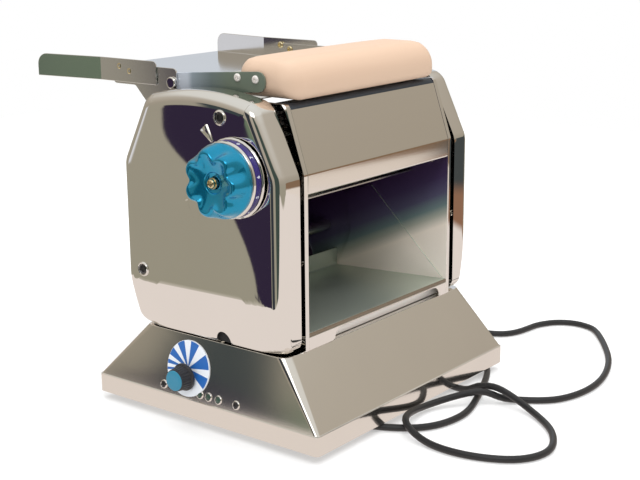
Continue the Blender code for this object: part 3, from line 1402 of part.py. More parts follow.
def guard(machine, axes):
    parent = axes["guard_axis"]
    corners = [
        ((BAR_FRONT_Y, BAR_BOTTOM_Z), BAR_EDGE_ROUND),
        ((BAR_REAR_Y, BAR_BOTTOM_Z), BAR_EDGE_ROUND),
        ((BAR_REAR_Y, BAR_TOP_Z), BAR_BACK_ROUND),
        ((BAR_FRONT_Y, BAR_TOP_Z), BAR_NOSE),
    ]
    points = [point for point, radius in corners]
    outline = fillet(points, [radius for point, radius in corners], 2 * BEND_STEPS)
    half = ARM_OUTER_X - ARM_THICKNESS - GAP
    prism("guard_bar", outline, "X", -half, half, "beech", parent)
    corner = [
        (PIVOT_Y, ARM_TOP_Z),
        (ARM_FRONT_Y, ARM_TOP_Z),
        (ARM_FRONT_Y, ARM_BOTTOM_Z),
        (PIVOT_Y, ARM_BOTTOM_Z),
    ]
    corner = fillet(corner, ARM_FRONT_ROUND, closed=False)
    arm = hull([p for p in corner if p[0] < PIVOT_Y - PIVOT_LOBE] + circle((PIVOT_Y, PIVOT_Z), PIVOT_LOBE))
    for side, sign in SIDES:
        low, high = along_side(sign, ARM_OUTER_X - ARM_THICKNESS, ARM_OUTER_X)
        plate = prism("guard_arm_" + side, arm, "X", low, high, "polished_steel", parent)
        hole = (PIVOT_Y, PIVOT_Z), PIVOT_RADIUS + GAP
        cut(plate, rod("cut_arm_" + side, *hole, low - OVERRUN, high + OVERRUN, "zinc_steel", parent))
        inner = ARM_OUTER_X - ARM_THICKNESS - GAP
        outer = BRACKET_OUTER_X + GAP
        profile = [
            (0.0, sign * (inner - BOLT_HEAD_WIDTH)),
            (BOLT_HEAD_RADIUS, sign * (inner - BOLT_HEAD_WIDTH)),
            (BOLT_HEAD_RADIUS, sign * inner),
            (PIVOT_RADIUS, sign * inner),
            (PIVOT_RADIUS, sign * outer),
            (BOLT_HEAD_RADIUS, sign * outer),
            (BOLT_HEAD_RADIUS, sign * (outer + BOLT_HEAD_WIDTH - RIM_STEP)),
            (BOLT_HEAD_RADIUS - RIM_STEP, sign * (outer + BOLT_HEAD_WIDTH)),
            (0.0, sign * (outer + BOLT_HEAD_WIDTH)),
        ]
        turned("pivot_bolt_" + side, profile, (PIVOT_Y, PIVOT_Z), "polished_steel", machine, SMALL_STEPS)


def tray_brackets(machine):
    outline = [
        (BRACKET_FRONT_Y, BRACKET_TOP_Z),
        (BRACKET_FRONT_Y, BRACKET_FOOT_Z),
        (BRACKET_FOOT_Y, BRACKET_FOOT_Z),
        (BRACKET_HEEL_Y, BRACKET_HEEL_Z),
        (BRACKET_KNEE_Y, BRACKET_EAR_Z),
        (BRACKET_REAR_Y, BRACKET_EAR_Z),
        (BRACKET_REAR_Y, BRACKET_TOP_Z),
    ]
    rounded = fillet(outline, BAR_EDGE_ROUND)
    for side, sign in SIDES:
        low, high = along_side(sign, BRACKET_INNER_X, BRACKET_OUTER_X)
        plate = prism("tray_bracket_" + side, rounded, "X", low, high, "polished_steel", machine)
        hole = (PIVOT_Y, PIVOT_Z), PIVOT_RADIUS + GAP
        cut(plate, rod("cut_bracket_" + side, *hole, low - OVERRUN, high + OVERRUN, "zinc_steel", machine))


def flared(y, wall_x):
    """A tray wall's place across the machine: straight, then opening out to the rear."""
    share = max(0.0, (y - TRAY_BEND_Y) / (TRAY_REAR_Y - TRAY_BEND_Y))
    return wall_x + TRAY_FLARE * share


def plate_between(name, rows, thickness, parent, look):
    """A thin plate over a grid of points, thickened upwards along Z."""
    wide = len(rows[0])
    verts = [p for row in rows for p in row]
    verts += [(x, y, z + thickness) for row in rows for x, y, z in row]
    top = len(rows) * wide
    faces = []
    for r in range(len(rows) - 1):
        for c in range(wide - 1):
            a, b, e, d = r * wide + c, r * wide + c + 1, (r + 1) * wide + c + 1, (r + 1) * wide + c
            faces += [(a, d, e, b), (top + a, top + b, top + e, top + d)]
    border = [c for c in range(wide)]
    border += [r * wide + wide - 1 for r in range(1, len(rows))]
    border += [(len(rows) - 1) * wide + c for c in range(wide - 2, -1, -1)]
    border += [r * wide for r in range(len(rows) - 2, 0, -1)]
    for i, a in enumerate(border):
        b = border[(i + 1) % len(border)]
        faces.append((a, b, top + b, top + a))
    return solid(name, verts, faces, look, parent)


def feed_tray(machine):
    wall_inner = TRAY_WALL_X - SHEET
    bracket_clear = BRACKET_INNER_X - 2 * GAP
    behind_bracket = BRACKET_REAR_Y + 2 * GAP
    overlap = SHEET / 2
    stations = [
        (TRAY_LIP_Y, TRAY_LIP_HALF_WIDTH, TRAY_LIP_Z),
        (TRAY_FRONT_Y, TRAY_LIP_HALF_WIDTH, TRAY_FLOOR_Z),
        (TRAY_FRONT_Y + OVERRUN, bracket_clear, TRAY_FLOOR_Z),
        (behind_bracket, bracket_clear, TRAY_FLOOR_Z),
        (behind_bracket + GAP, wall_inner + overlap, TRAY_FLOOR_Z),
        (TRAY_BEND_Y, wall_inner + overlap, TRAY_FLOOR_Z),
        (TRAY_REAR_Y, flared(TRAY_REAR_Y, wall_inner) + overlap, TRAY_FLOOR_Z),
    ]
    rows = [[(-half, y, z), (half, y, z)] for y, half, z in stations]
    tray = plate_between("feed_tray", rows, SHEET, machine, "polished_steel")
    profile = [
        (TRAY_WALL_FRONT_Y, TRAY_FLOOR_Z),
        (TRAY_REAR_Y, TRAY_FLOOR_Z),
        (TRAY_REAR_Y, TRAY_WALL_TOP_Z),
        (TRAY_WALL_FRONT_Y, TRAY_WALL_TOP_Z),
    ]
    outline = fillet(profile, [0, 0, TRAY_ROUND, BAR_EDGE_ROUND], 2 * BEND_STEPS)
    outline.insert(1, (TRAY_BEND_Y, TRAY_FLOOR_Z))
    past_bend = next(i for i in range(2, len(outline)) if outline[i][0] < TRAY_BEND_Y)
    outline.insert(past_bend, (TRAY_BEND_Y, TRAY_WALL_TOP_Z))
    for side, sign in SIDES:
        verts = []
        for wall_x in (wall_inner, TRAY_WALL_X):
            verts += [(sign * flared(y, wall_x), y, z) for y, z in outline]
        count = len(outline)
        faces = []
        order = strip_faces(outline)
        faces += order
        faces += [tuple(count + i for i in face)[::-1] for face in order]
        for i in range(count):
            j = (i + 1) % count
            faces.append((i, j, count + j, count + i))
        wall = solid("add_tray_wall_" + side, verts, faces, "polished_steel", machine)
        fuse(tray, wall)
    return tray


def strip_faces(outline):
    """Splits a wall outline at its bend, so each part of it stays flat."""
    front = [i for i, p in enumerate(outline) if p[0] <= TRAY_BEND_Y]
    rear = [i for i, p in enumerate(outline) if p[0] >= TRAY_BEND_Y]
    return [tuple(front), tuple(rear)]


# Drive, electrics and the speed control


def drive(machine):
    centre = (REAR_ROLLER_Y, PINION_Z)
    front, rear = REAR_ROLLER_Y - GEARBOX_HALF_DEPTH, REAR_ROLLER_Y + GEARBOX_HALF_DEPTH
    outline = fillet(rectangle(front, PLATE_TOP_Z + GAP, rear, GEARBOX_TOP_Z), GEARBOX_ROUND)
    case = prism("gearbox", outline, "X", GEARBOX_LOW_X, GEARBOX_HIGH_X, "cast_alloy", machine)
    pocket = GEARBOX_HIGH_X - PINION_SHAFT_DEPTH - GAP
    span = (pocket, GEARBOX_HIGH_X + OVERRUN, "cast_alloy", machine)
    cut(case, rod("cut_output", centre, PINION_SHAFT_RADIUS + GAP, *span))
    far = GEARBOX_LOW_X - GAP - MOTOR_LENGTH
    profile = [
        (0.0, far),
        (MOTOR_BELL_RADIUS / 2, far),
        (MOTOR_BELL_RADIUS, far + MOTOR_BELL / 2),
        (MOTOR_RADIUS, far + MOTOR_BELL),
        (MOTOR_RADIUS, GEARBOX_LOW_X - GAP),
        (0.0, GEARBOX_LOW_X - GAP),
    ]
    turned("motor", profile, centre, "motor_paint", machine)


def control_board(machine):
    """The speed controller: a board on four posts with a heat sink and a capacitor."""
    low_z = PLATE_TOP_Z + BOARD_RISE
    top_z = low_z + BOARD_THICKNESS
    low, high = (BOARD_LOW_X, BOARD_LOW_Y, low_z), (BOARD_HIGH_X, BOARD_HIGH_Y, top_z)
    board = box("control_board", low, high, "board_green", machine)
    inset = 2 * BOARD_POST
    posts = rectangle(BOARD_LOW_X + inset, BOARD_LOW_Y + inset, BOARD_HIGH_X - inset, BOARD_HIGH_Y - inset)
    for k, centre in enumerate(posts):
        span = (PLATE_TOP_Z + GAP, low_z + BOARD_THICKNESS / 2, "zinc_steel", machine)
        fuse(board, rod("add_board_post_%d" % k, centre, BOARD_POST, *span, TINY_STEPS, "Z"))
    sink_y = BOARD_LOW_Y + BOARD_SINK_WIDTH
    sink = box(
        "add_heat_sink",
        (BOARD_LOW_X + 2 * inset, sink_y, low_z + BOARD_THICKNESS / 2),
        (BOARD_HIGH_X - 2 * inset, sink_y + BOARD_SINK_WIDTH, top_z + BOARD_SINK_HEIGHT),
        "board_green",
        machine,
    )
    middle = ((BOARD_LOW_X + BOARD_HIGH_X) / 2, BOARD_HIGH_Y - 2 * BOARD_SINK_WIDTH)
    span = (low_z + BOARD_THICKNESS / 2, top_z + BOARD_CAN_HEIGHT, "board_green", machine)
    can = rod("add_capacitor", middle, BOARD_CAN_RADIUS, *span, SMALL_STEPS, "Z")
    return fuse(board, sink, can)


def speed_control(machine, axes):
    parent = axes["speed_axis"]
    centre = (SPEED_Y, SPEED_Z)
    tilt = math.atan2(SIDE_SLOPE - RIM_STEP, BASE_HEIGHT - RIM_HEIGHT)
    near = GAP / math.cos(tilt)
    verts = []
    for out in (near, near + SPEED_DISC_THICKNESS):
        for y, z in circle((SPEED_Y, SPEED_DISC_Z), SPEED_DISC_RADIUS, ROUND_STEPS, math.cos(tilt)):
            verts.append((-slope_x(z) - out, y, z))
    count = ROUND_STEPS
    faces = [tuple(range(count))[::-1], tuple(range(count, 2 * count))]
    faces += [(i, (i + 1) % count, count + (i + 1) % count, count + i) for i in range(count)]
    disc = solid("speed_dial", verts, faces, "dial_white", machine)
    hole = SPEED_STEM_RADIUS + 2 * TRIM_GAP
    cut(disc, rod("cut_dial", centre, hole, -SPEED_KNOB_X, -POT_FRONT_X, "dial_white", machine))
    base_x = -SPEED_KNOB_X
    front = base_x - SPEED_KNOB_WIDTH
    socket = POT_FRONT_X - POT_DEPTH / 3
    profile = [
        (0.0, front),
        (SPEED_NECK_RADIUS - RIM_STEP, front),
        (SPEED_NECK_RADIUS, front + RIM_STEP),
        (SPEED_NECK_RADIUS + RIM_STEP, base_x - SPEED_KNOB_WIDTH / 3),
        (SPEED_SKIRT_RADIUS, base_x - SPEED_KNOB_WIDTH / 5),
        (SPEED_SKIRT_RADIUS, base_x),
        (SPEED_STEM_RADIUS, base_x),
        (SPEED_STEM_RADIUS, -socket),
        (0.0, -socket),
    ]
    turned("speed_knob", profile, centre, "black_plastic", parent)
    cap = [
        (0.0, front - GAP - SPEED_CAP_WIDTH),
        (SPEED_CAP_RADIUS - RIM_STEP, front - GAP - SPEED_CAP_WIDTH),
        (SPEED_CAP_RADIUS, front - GAP - SPEED_CAP_WIDTH / 2),
        (SPEED_CAP_RADIUS, front - GAP),
        (0.0, front - GAP),
    ]
    turned("speed_knob_cap", cap, centre, "blue_cap", parent)
    bore = SPEED_STEM_RADIUS + GAP
    bottom = -(socket - GAP)
    back = -(POT_FRONT_X - POT_DEPTH)
    profile = [
        (0.0, bottom),
        (bore, bottom),
        (bore, -POT_FRONT_X),
        (POT_RADIUS, -POT_FRONT_X),
        (POT_RADIUS, back),
        (0.0, back),
    ]
    pot = turned("potentiometer", profile, centre, "cast_alloy", machine)
    bracket = box(
        "add_pot_bracket",
        (back - POT_BRACKET / 2, SPEED_Y - POT_RADIUS, PLATE_TOP_Z + GAP),
        (back + POT_BRACKET / 2, SPEED_Y + POT_RADIUS, SPEED_Z + POT_RADIUS + POT_BRACKET),
        "cast_alloy",
        machine,
    )
    fuse(pot, bracket)


# Mains lead


def smooth_route(points, spacing):
    """Evenly spaced points on a smooth curve through the route's points."""
    fine = []
    vectors = [Vector(p) for p in points]
    for i in range(len(vectors) - 1):
        before = vectors[max(i - 1, 0)]
        start, end = vectors[i], vectors[i + 1]
        after = vectors[min(i + 2, len(vectors) - 1)]
        for k in range(ROUTE_STEPS):
            t = k / ROUTE_STEPS
            ease = (2 * start) + (end - before) * t
            ease += (2 * before - 5 * start + 4 * end - after) * t**2
            ease += (3 * start - 3 * end + after - before) * t**3
            fine.append(ease / 2)
    fine.append(vectors[-1])
    lengths = [0.0]
    for a, b in zip(fine, fine[1:]):
        lengths.append(lengths[-1] + (b - a).length)
    count = max(2, round(lengths[-1] / spacing))
    even = []
    k = 0
    for i in range(count + 1):
        goal = lengths[-1] * i / count
        while k < len(fine) - 2 and lengths[k + 1] < goal:
            k += 1
        share = (goal - lengths[k]) / max(lengths[k + 1] - lengths[k], GAP * GAP)
        even.append(fine[k].lerp(fine[k + 1], min(1.0, share)))
    return even


def power_cord(machine):
    route = [CORD_ROUTE[0]] + smooth_route(CORD_ROUTE[1:-1], CORD_SPACING) + [CORD_ROUTE[-1]]
    curve = bpy.data.curves.new("power_cord", "CURVE")
    curve.dimensions = "3D"
    curve.bevel_depth = CORD_RADIUS
    curve.bevel_resolution = CORD_SIDE_STEPS
    curve.use_fill_caps = True
    spline = curve.splines.new("POLY")
    spline.points.add(len(route) - 1)
    lying_z = FLOOR_Z + CORD_RADIUS
    for point, (x, y, z) in zip(spline.points, route):
        point.co = (x, y, max(z, lying_z), 1.0)
    curve.materials.append(material("cord_rubber"))
    cord = bpy.data.objects.new("power_cord", curve)
    bpy.context.collection.objects.link(cord)
    return place(cord, machine)


def strain_relief(machine):
    centre = (CORD_EXIT_Y, CORD_EXIT_Z)
    inside = BASE_HALF_WIDTH - 2 * BASE_WALL
    outside = BASE_HALF_WIDTH + GAP
    tip = outside + RELIEF_LENGTH
    profile = [
        (0.0, inside),
        (RELIEF_RADIUS, inside),
        (RELIEF_RADIUS, outside),
        (RELIEF_FLANGE_RADIUS, outside),
        (RELIEF_FLANGE_RADIUS, outside + RELIEF_FLANGE),
        (RELIEF_RADIUS, outside + RELIEF_FLANGE),
        (RELIEF_TIP_RADIUS, tip),
        (0.0, tip),
    ]
    turned("strain_relief", profile, centre, "cord_rubber", machine, SMALL_STEPS)


def power_plug(machine):
    """A moulded plug with two round pins, lying on the standing surface."""
    centre = (PLUG_X, FLOOR_Z + PLUG_RADIUS)
    neck_start = PLUG_Y
    shoulder = neck_start + PLUG_NECK
    face = shoulder + PLUG_LENGTH
    profile = [
        (0.0, neck_start),
        (PLUG_NECK_RADIUS - RIM_STEP, neck_start),
        (PLUG_NECK_RADIUS, shoulder),
        (PLUG_RADIUS - 2 * RIM_STEP, shoulder + PLUG_NECK_RADIUS),
        (PLUG_RADIUS, shoulder + 2 * PLUG_NECK_RADIUS),
        (PLUG_RADIUS, face - RIM_STEP),
        (PLUG_RADIUS - RIM_STEP, face),
        (0.0, face),
    ]
    plug = turned("power_plug", profile, centre, "cord_rubber", machine, axis="Y")
    for k, sign in enumerate((-1, 1)):
        pin_centre = (PLUG_X + sign * PIN_SPREAD, centre[1])
        span = (face - PIN_LENGTH / 2, face + PIN_LENGTH, "zinc_steel", machine)
        fuse(plug, rod("add_pin_%d" % k, pin_centre, PIN_RADIUS, *span, TINY_STEPS, "Y"))
    return plug


def build():
    clear_scene()
    machine = bpy.data.objects.new("machine", None)
    bpy.context.collection.objects.link(machine)
    machine.location = (SHIFT_X, SHIFT_Y, FOOT_HEIGHT)
    machine["machine_place"] = (0.0, 0.0, 0.0)
    axes = axis_empties(machine)
    base_housing(machine)
    base_plate(machine)
    feet(machine)
    frame_plates(machine)
    for side, sign in SIDES:
        side_cover(machine, side, sign)
    upper_front_panel(machine)
    front_apron(machine)
    outlet_chute(machine)
    rear_panel(machine)
    tie_rods(machine)
    rollers(axes)
    gear_train(axes)
    idler_studs(machine)
    rear_bushes(machine)
    bearing_blocks(axes)
    scrapers(machine, axes)
    adjuster(axes)
    cross_shaft(axes)
    adjuster_bridge(machine)
    knob_rings(machine, axes)
    adjuster_knob(axes)
    guard(machine, axes)
    tray_brackets(machine)
    feed_tray(machine)
    drive(machine)
    control_board(machine)
    speed_control(machine, axes)
    strain_relief(machine)
    power_cord(machine)
    power_plug(machine)


build()
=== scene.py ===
import bpy
import bmesh
import json
import math
from mathutils import Matrix, Vector

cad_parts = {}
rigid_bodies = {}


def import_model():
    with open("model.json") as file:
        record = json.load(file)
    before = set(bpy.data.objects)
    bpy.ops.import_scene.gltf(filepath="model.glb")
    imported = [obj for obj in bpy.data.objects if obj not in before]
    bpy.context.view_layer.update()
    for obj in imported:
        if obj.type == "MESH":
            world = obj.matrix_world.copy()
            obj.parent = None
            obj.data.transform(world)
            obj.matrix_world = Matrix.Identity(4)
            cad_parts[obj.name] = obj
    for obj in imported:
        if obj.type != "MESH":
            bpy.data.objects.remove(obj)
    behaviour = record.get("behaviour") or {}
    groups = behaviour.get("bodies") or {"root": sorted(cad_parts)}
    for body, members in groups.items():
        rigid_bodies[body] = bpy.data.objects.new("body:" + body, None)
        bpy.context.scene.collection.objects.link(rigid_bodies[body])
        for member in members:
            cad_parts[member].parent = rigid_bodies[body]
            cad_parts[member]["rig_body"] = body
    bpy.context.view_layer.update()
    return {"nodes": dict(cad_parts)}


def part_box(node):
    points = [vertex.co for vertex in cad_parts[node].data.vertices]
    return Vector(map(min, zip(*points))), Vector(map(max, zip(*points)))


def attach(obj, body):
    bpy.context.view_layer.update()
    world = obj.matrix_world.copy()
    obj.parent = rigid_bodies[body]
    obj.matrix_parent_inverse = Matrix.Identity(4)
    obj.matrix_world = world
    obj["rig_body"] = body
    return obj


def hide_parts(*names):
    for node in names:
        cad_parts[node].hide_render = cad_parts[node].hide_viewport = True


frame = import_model()
nodes = frame["nodes"]
print("frame loaded:", len(nodes), "nodes")

# the machine's own measures were taken from its middle, so places below are shifted from there
machineShift = Vector((0.015125, -0.04595, 0.0075))
# a distance from the middle that lies beyond either side of the machine
beyond = 0.2
bothSides = (("left", -1), ("right", 1))


def fromMiddle(x, y, z):
    return Vector((x, y, z)) + machineShift


def boxOf(label):
    # the low and high corners of a CAD piece
    return [Vector(corner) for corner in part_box(label)]


# Camera, at the photograph's angle
view = {
    "place": (-0.93414, -0.81368, 0.45635),
    "turn": -51.72,
    "dip": 14.22,
    "roll": -0.46,
    "lens": 72.77,
}


def makeCamera():
    bpy.ops.object.camera_add(location=view["place"])
    camera = bpy.context.object
    camera.name = "photoView"
    turn = Matrix.Rotation(math.radians(view["turn"]), 4, "Z")
    dip = Matrix.Rotation(math.radians(90 - view["dip"]), 4, "X")
    roll = Matrix.Rotation(math.radians(view["roll"]), 4, "Z")
    camera.matrix_world = Matrix.Translation(view["place"]) @ turn @ dip @ roll
    camera.data.lens = view["lens"]
    camera.data.sensor_width = 36
    camera.data.clip_start = 0.05
    bpy.context.scene.camera = camera
    bpy.context.scene.view_settings.view_transform = "Standard"


makeCamera()
print("camera placed")


# Helpers for modelling by hand
def deselectAll():
    if bpy.context.object and bpy.context.object.mode != "OBJECT":
        bpy.ops.object.mode_set(mode="OBJECT")
    bpy.ops.object.select_all(action="DESELECT")


def pick(piece):
    deselectAll()
    piece.select_set(True)
    bpy.context.view_layer.objects.active = piece


def applyPlace(piece):
    # place goes into the mesh, so the object itself sits at the origin
    pick(piece)
    bpy.ops.object.transform_apply(location=True, rotation=True, scale=True)


def startEdit(piece):
    pick(piece)
    bpy.ops.object.mode_set(mode="EDIT")
    bpy.ops.mesh.select_mode(type="FACE")
    bpy.ops.mesh.select_all(action="DESELECT")


def chooseAll():
    bpy.ops.mesh.select_all(action="SELECT")


def chooseFaces(piece, test):
    bpy.ops.mesh.select_mode(type="FACE")
    shape = bmesh.from_edit_mesh(piece.data)
    for face in shape.faces:
        face.select_set(test(face))
    bmesh.update_edit_mesh(piece.data)


def choose(kind, piece, test):
    # picks edges, EDGE, or points, VERT
    bpy.ops.mesh.select_mode(type=kind)
    bpy.ops.mesh.select_all(action="DESELECT")
    shape = bmesh.from_edit_mesh(piece.data)
    for part in shape.edges if kind == "EDGE" else shape.verts:
        if test(part):
            part.select_set(True)
    bmesh.update_edit_mesh(piece.data)


def extrudeBy(value):
    bpy.ops.mesh.extrude_region_move(TRANSFORM_OT_translate={"value": value})


def movePoints(piece, rule):
    # moves each point to where the rule says, as soft pulling by hand would
    shape = bmesh.from_edit_mesh(piece.data)
    for point in shape.verts:
        point.co = rule(point.co.copy())
    bmesh.update_edit_mesh(piece.data)


def endEdit():
    bpy.ops.object.mode_set(mode="OBJECT")


def addModifier(piece, kind, **values):
    pick(piece)
    modifier = piece.modifiers.new(kind.lower(), kind)
    for label, value in values.items():
        setattr(modifier, label, value)
    bpy.ops.object.modifier_apply(modifier=modifier.name)


def cutWith(piece, cutter):
    addModifier(piece, "BOOLEAN", object=cutter, operation="DIFFERENCE")
    bpy.data.objects.remove(cutter)


def addRod(start, end, radius, sides=48):
    # a cylinder from one place to another
    start, end = Vector(start), Vector(end)
    axis = end - start
    deselectAll()
    bpy.ops.mesh.primitive_cylinder_add(
        vertices=sides, radius=radius, depth=axis.length, location=(start + end) / 2,
        rotation=axis.to_track_quat("Z", "Y").to_euler())
    return bpy.context.object


def addOutline(places):
    # one flat face through the places, left open for editing
    deselectAll()
    bpy.ops.mesh.primitive_circle_add(vertices=len(places), fill_type="NGON")
    piece = bpy.context.object
    startEdit(piece)
    shape = bmesh.from_edit_mesh(piece.data)
    for point, place in zip(shape.verts, places):
        point.co = place
    bmesh.update_edit_mesh(piece.data)
    return piece


def turnTo(piece, place, right, up, out):
    # puts a flat piece at a place, facing out
    piece.matrix_world = Matrix.Translation(place) @ Matrix((right, up, out)).transposed().to_4x4()
    applyPlace(piece)


def facesOutward(piece):
    startEdit(piece)
    chooseAll()
    bpy.ops.mesh.remove_doubles(threshold=0.00001)
    bpy.ops.mesh.normals_make_consistent(inside=False)
    endEdit()


def finishPiece(piece, name, finish, body, smoothAngle=35):
    applyPlace(piece)
    piece.name = name
    piece.data.name = name
    if smoothAngle:
        bpy.ops.object.shade_smooth_by_angle(angle=math.radians(smoothAngle))
    piece.data.materials.clear()
    piece.data.materials.append(finishes[finish])
    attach(piece, body)
    return piece


def dressSide(piece, finish, test):
    # a second finish on the faces that the test picks
    piece.data.materials.append(finishes[finish])
    startEdit(piece)
    chooseFaces(piece, test)
    piece.active_material_index = len(piece.data.materials) - 1
    bpy.ops.object.material_slot_assign()
    endEdit()


def softenNode(label, name, finish, slot, width=0.0005, steps=3, smoothAngle=30):
    # a merged copy of a CAD piece with its edges rounded, as a brake press or a file leaves them
    node = nodes[label]
    piece = bpy.data.objects.new(name, node.data.copy())
    bpy.context.scene.collection.objects.link(piece)
    startEdit(piece)
    chooseAll()
    bpy.ops.mesh.remove_doubles(threshold=0.00001)
    bpy.ops.mesh.dissolve_limited(angle_limit=math.radians(0.5))
    endEdit()
    addModifier(piece, "BEVEL", width=width, segments=steps, limit_method="ANGLE",
                angle_limit=math.radians(40), harden_normals=False)
    finishPiece(piece, name, finish, node["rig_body"], smoothAngle)
    addModifier(piece, "WEIGHTED_NORMAL", keep_sharp=True, weight=50)
    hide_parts(label)
    return piece


def smoothStep(low, high, value):
    share = min(1.0, max(0.0, (value - low) / (high - low)))
    return share * share * (3 - 2 * share)


# Node helpers for the finishes
def newGroup(name, inputs, outputs):
    group = bpy.data.node_groups.new(name, "ShaderNodeTree")
    for label, kind, value in inputs:
        made = group.interface.new_socket(label, in_out="INPUT", socket_type=kind)
        if value is not None:
            made.default_value = value
    for label, kind in outputs:
        group.interface.new_socket(label, in_out="OUTPUT", socket_type=kind)
    start = group.nodes.new("NodeGroupInput")
    end = group.nodes.new("NodeGroupOutput")
    return group, start, end


def setInputs(node, values):
    for label, value in values.items():
        node.inputs[label].default_value = value


def addNode(tree, kind, **values):
    node = tree.nodes.new(kind)
    for label, value in values.items():
        if hasattr(node, label):
            setattr(node, label, value)
        else:
            node.inputs[label].default_value = value
    return node


def wire(tree, *ways):
    # each way: a node and its output, then the node and the input that it goes to
    for start, output, end, socket in ways:
        tree.links.new(start.outputs[output], end.inputs[socket])


# Noise that breaks up a finish: fine grain, broad smudges and a tint between two colours
def makeUnevenGroup():
    inputs = [
        ("Vector", "NodeSocketVector", None),
        ("Colour", "NodeSocketColor", (0.5, 0.5, 0.5, 1)),
        ("Second Colour", "NodeSocketColor", (0.4, 0.4, 0.4, 1)),
        ("Roughness", "NodeSocketFloat", 0.3),
        ("Spread", "NodeSocketFloat", 0.05),
        ("Broad Scale", "NodeSocketFloat", 12.0),
        ("Fine Scale", "NodeSocketFloat", 400.0),
    ]
    outputs = [("Colour", "NodeSocketColor"), ("Roughness", "NodeSocketFloat"),
               ("Height", "NodeSocketFloat")]
    group, start, end = newGroup("unevenFinish", inputs, outputs)
    broad = addNode(group, "ShaderNodeTexNoise", Detail=4.0, Roughness=0.55)
    fine = addNode(group, "ShaderNodeTexNoise", Detail=3.0, Roughness=0.6)
    mix = addNode(group, "ShaderNodeMix", data_type="RGBA")
    swing = addNode(group, "ShaderNodeMath", operation="SUBTRACT")
    swing.inputs[1].default_value = 0.5
    scale = addNode(group, "ShaderNodeMath", operation="MULTIPLY")
    total = addNode(group, "ShaderNodeMath", operation="ADD", use_clamp=True)
    wire(group, (start, "Vector", broad, "Vector"), (start, "Vector", fine, "Vector"),
         (start, "Broad Scale", broad, "Scale"), (start, "Fine Scale", fine, "Scale"),
         (broad, "Fac", mix, "Factor"), (start, "Colour", mix, "A"), (start, "Second Colour", mix, "B"),
         (broad, "Fac", swing, 0), (swing, 0, scale, 0), (start, "Spread", scale, 1),
         (scale, 0, total, 0), (start, "Roughness", total, 1), (mix, "Result", end, "Colour"),
         (total, 0, end, "Roughness"), (fine, "Fac", end, "Height"))
    return group


unevenGroup = makeUnevenGroup()


def plainFinish(name, colour, second, roughness, spread=0.05, metallic=0, bump=0.05, coat=0,
                stretch=(1, 1, 1), broad=12, fine=400):
    material = bpy.data.materials.new(name + "Finish")
    material.use_nodes = True
    tree = material.node_tree
    shader = tree.nodes["Principled BSDF"]
    place = tree.nodes.new("ShaderNodeTexCoord")
    mapped = addNode(tree, "ShaderNodeMapping", Scale=stretch)
    uneven = addNode(tree, "ShaderNodeGroup", node_tree=unevenGroup)
    setInputs(uneven, {"Colour": (*colour, 1), "Second Colour": (*second, 1), "Roughness": roughness,
                       "Spread": spread, "Broad Scale": broad, "Fine Scale": fine})
    grain = addNode(tree, "ShaderNodeBump", Strength=bump, Distance=0.0003)
    wire(tree, (place, "Object", mapped, "Vector"), (mapped, "Vector", uneven, "Vector"),
         (uneven, "Colour", shader, "Base Color"), (uneven, "Roughness", shader, "Roughness"),
         (uneven, "Height", grain, "Height"), (grain, "Normal", shader, "Normal"))
    setInputs(shader, {"Metallic": metallic, "Coat Weight": coat, "Coat Roughness": 0.05})
    return material


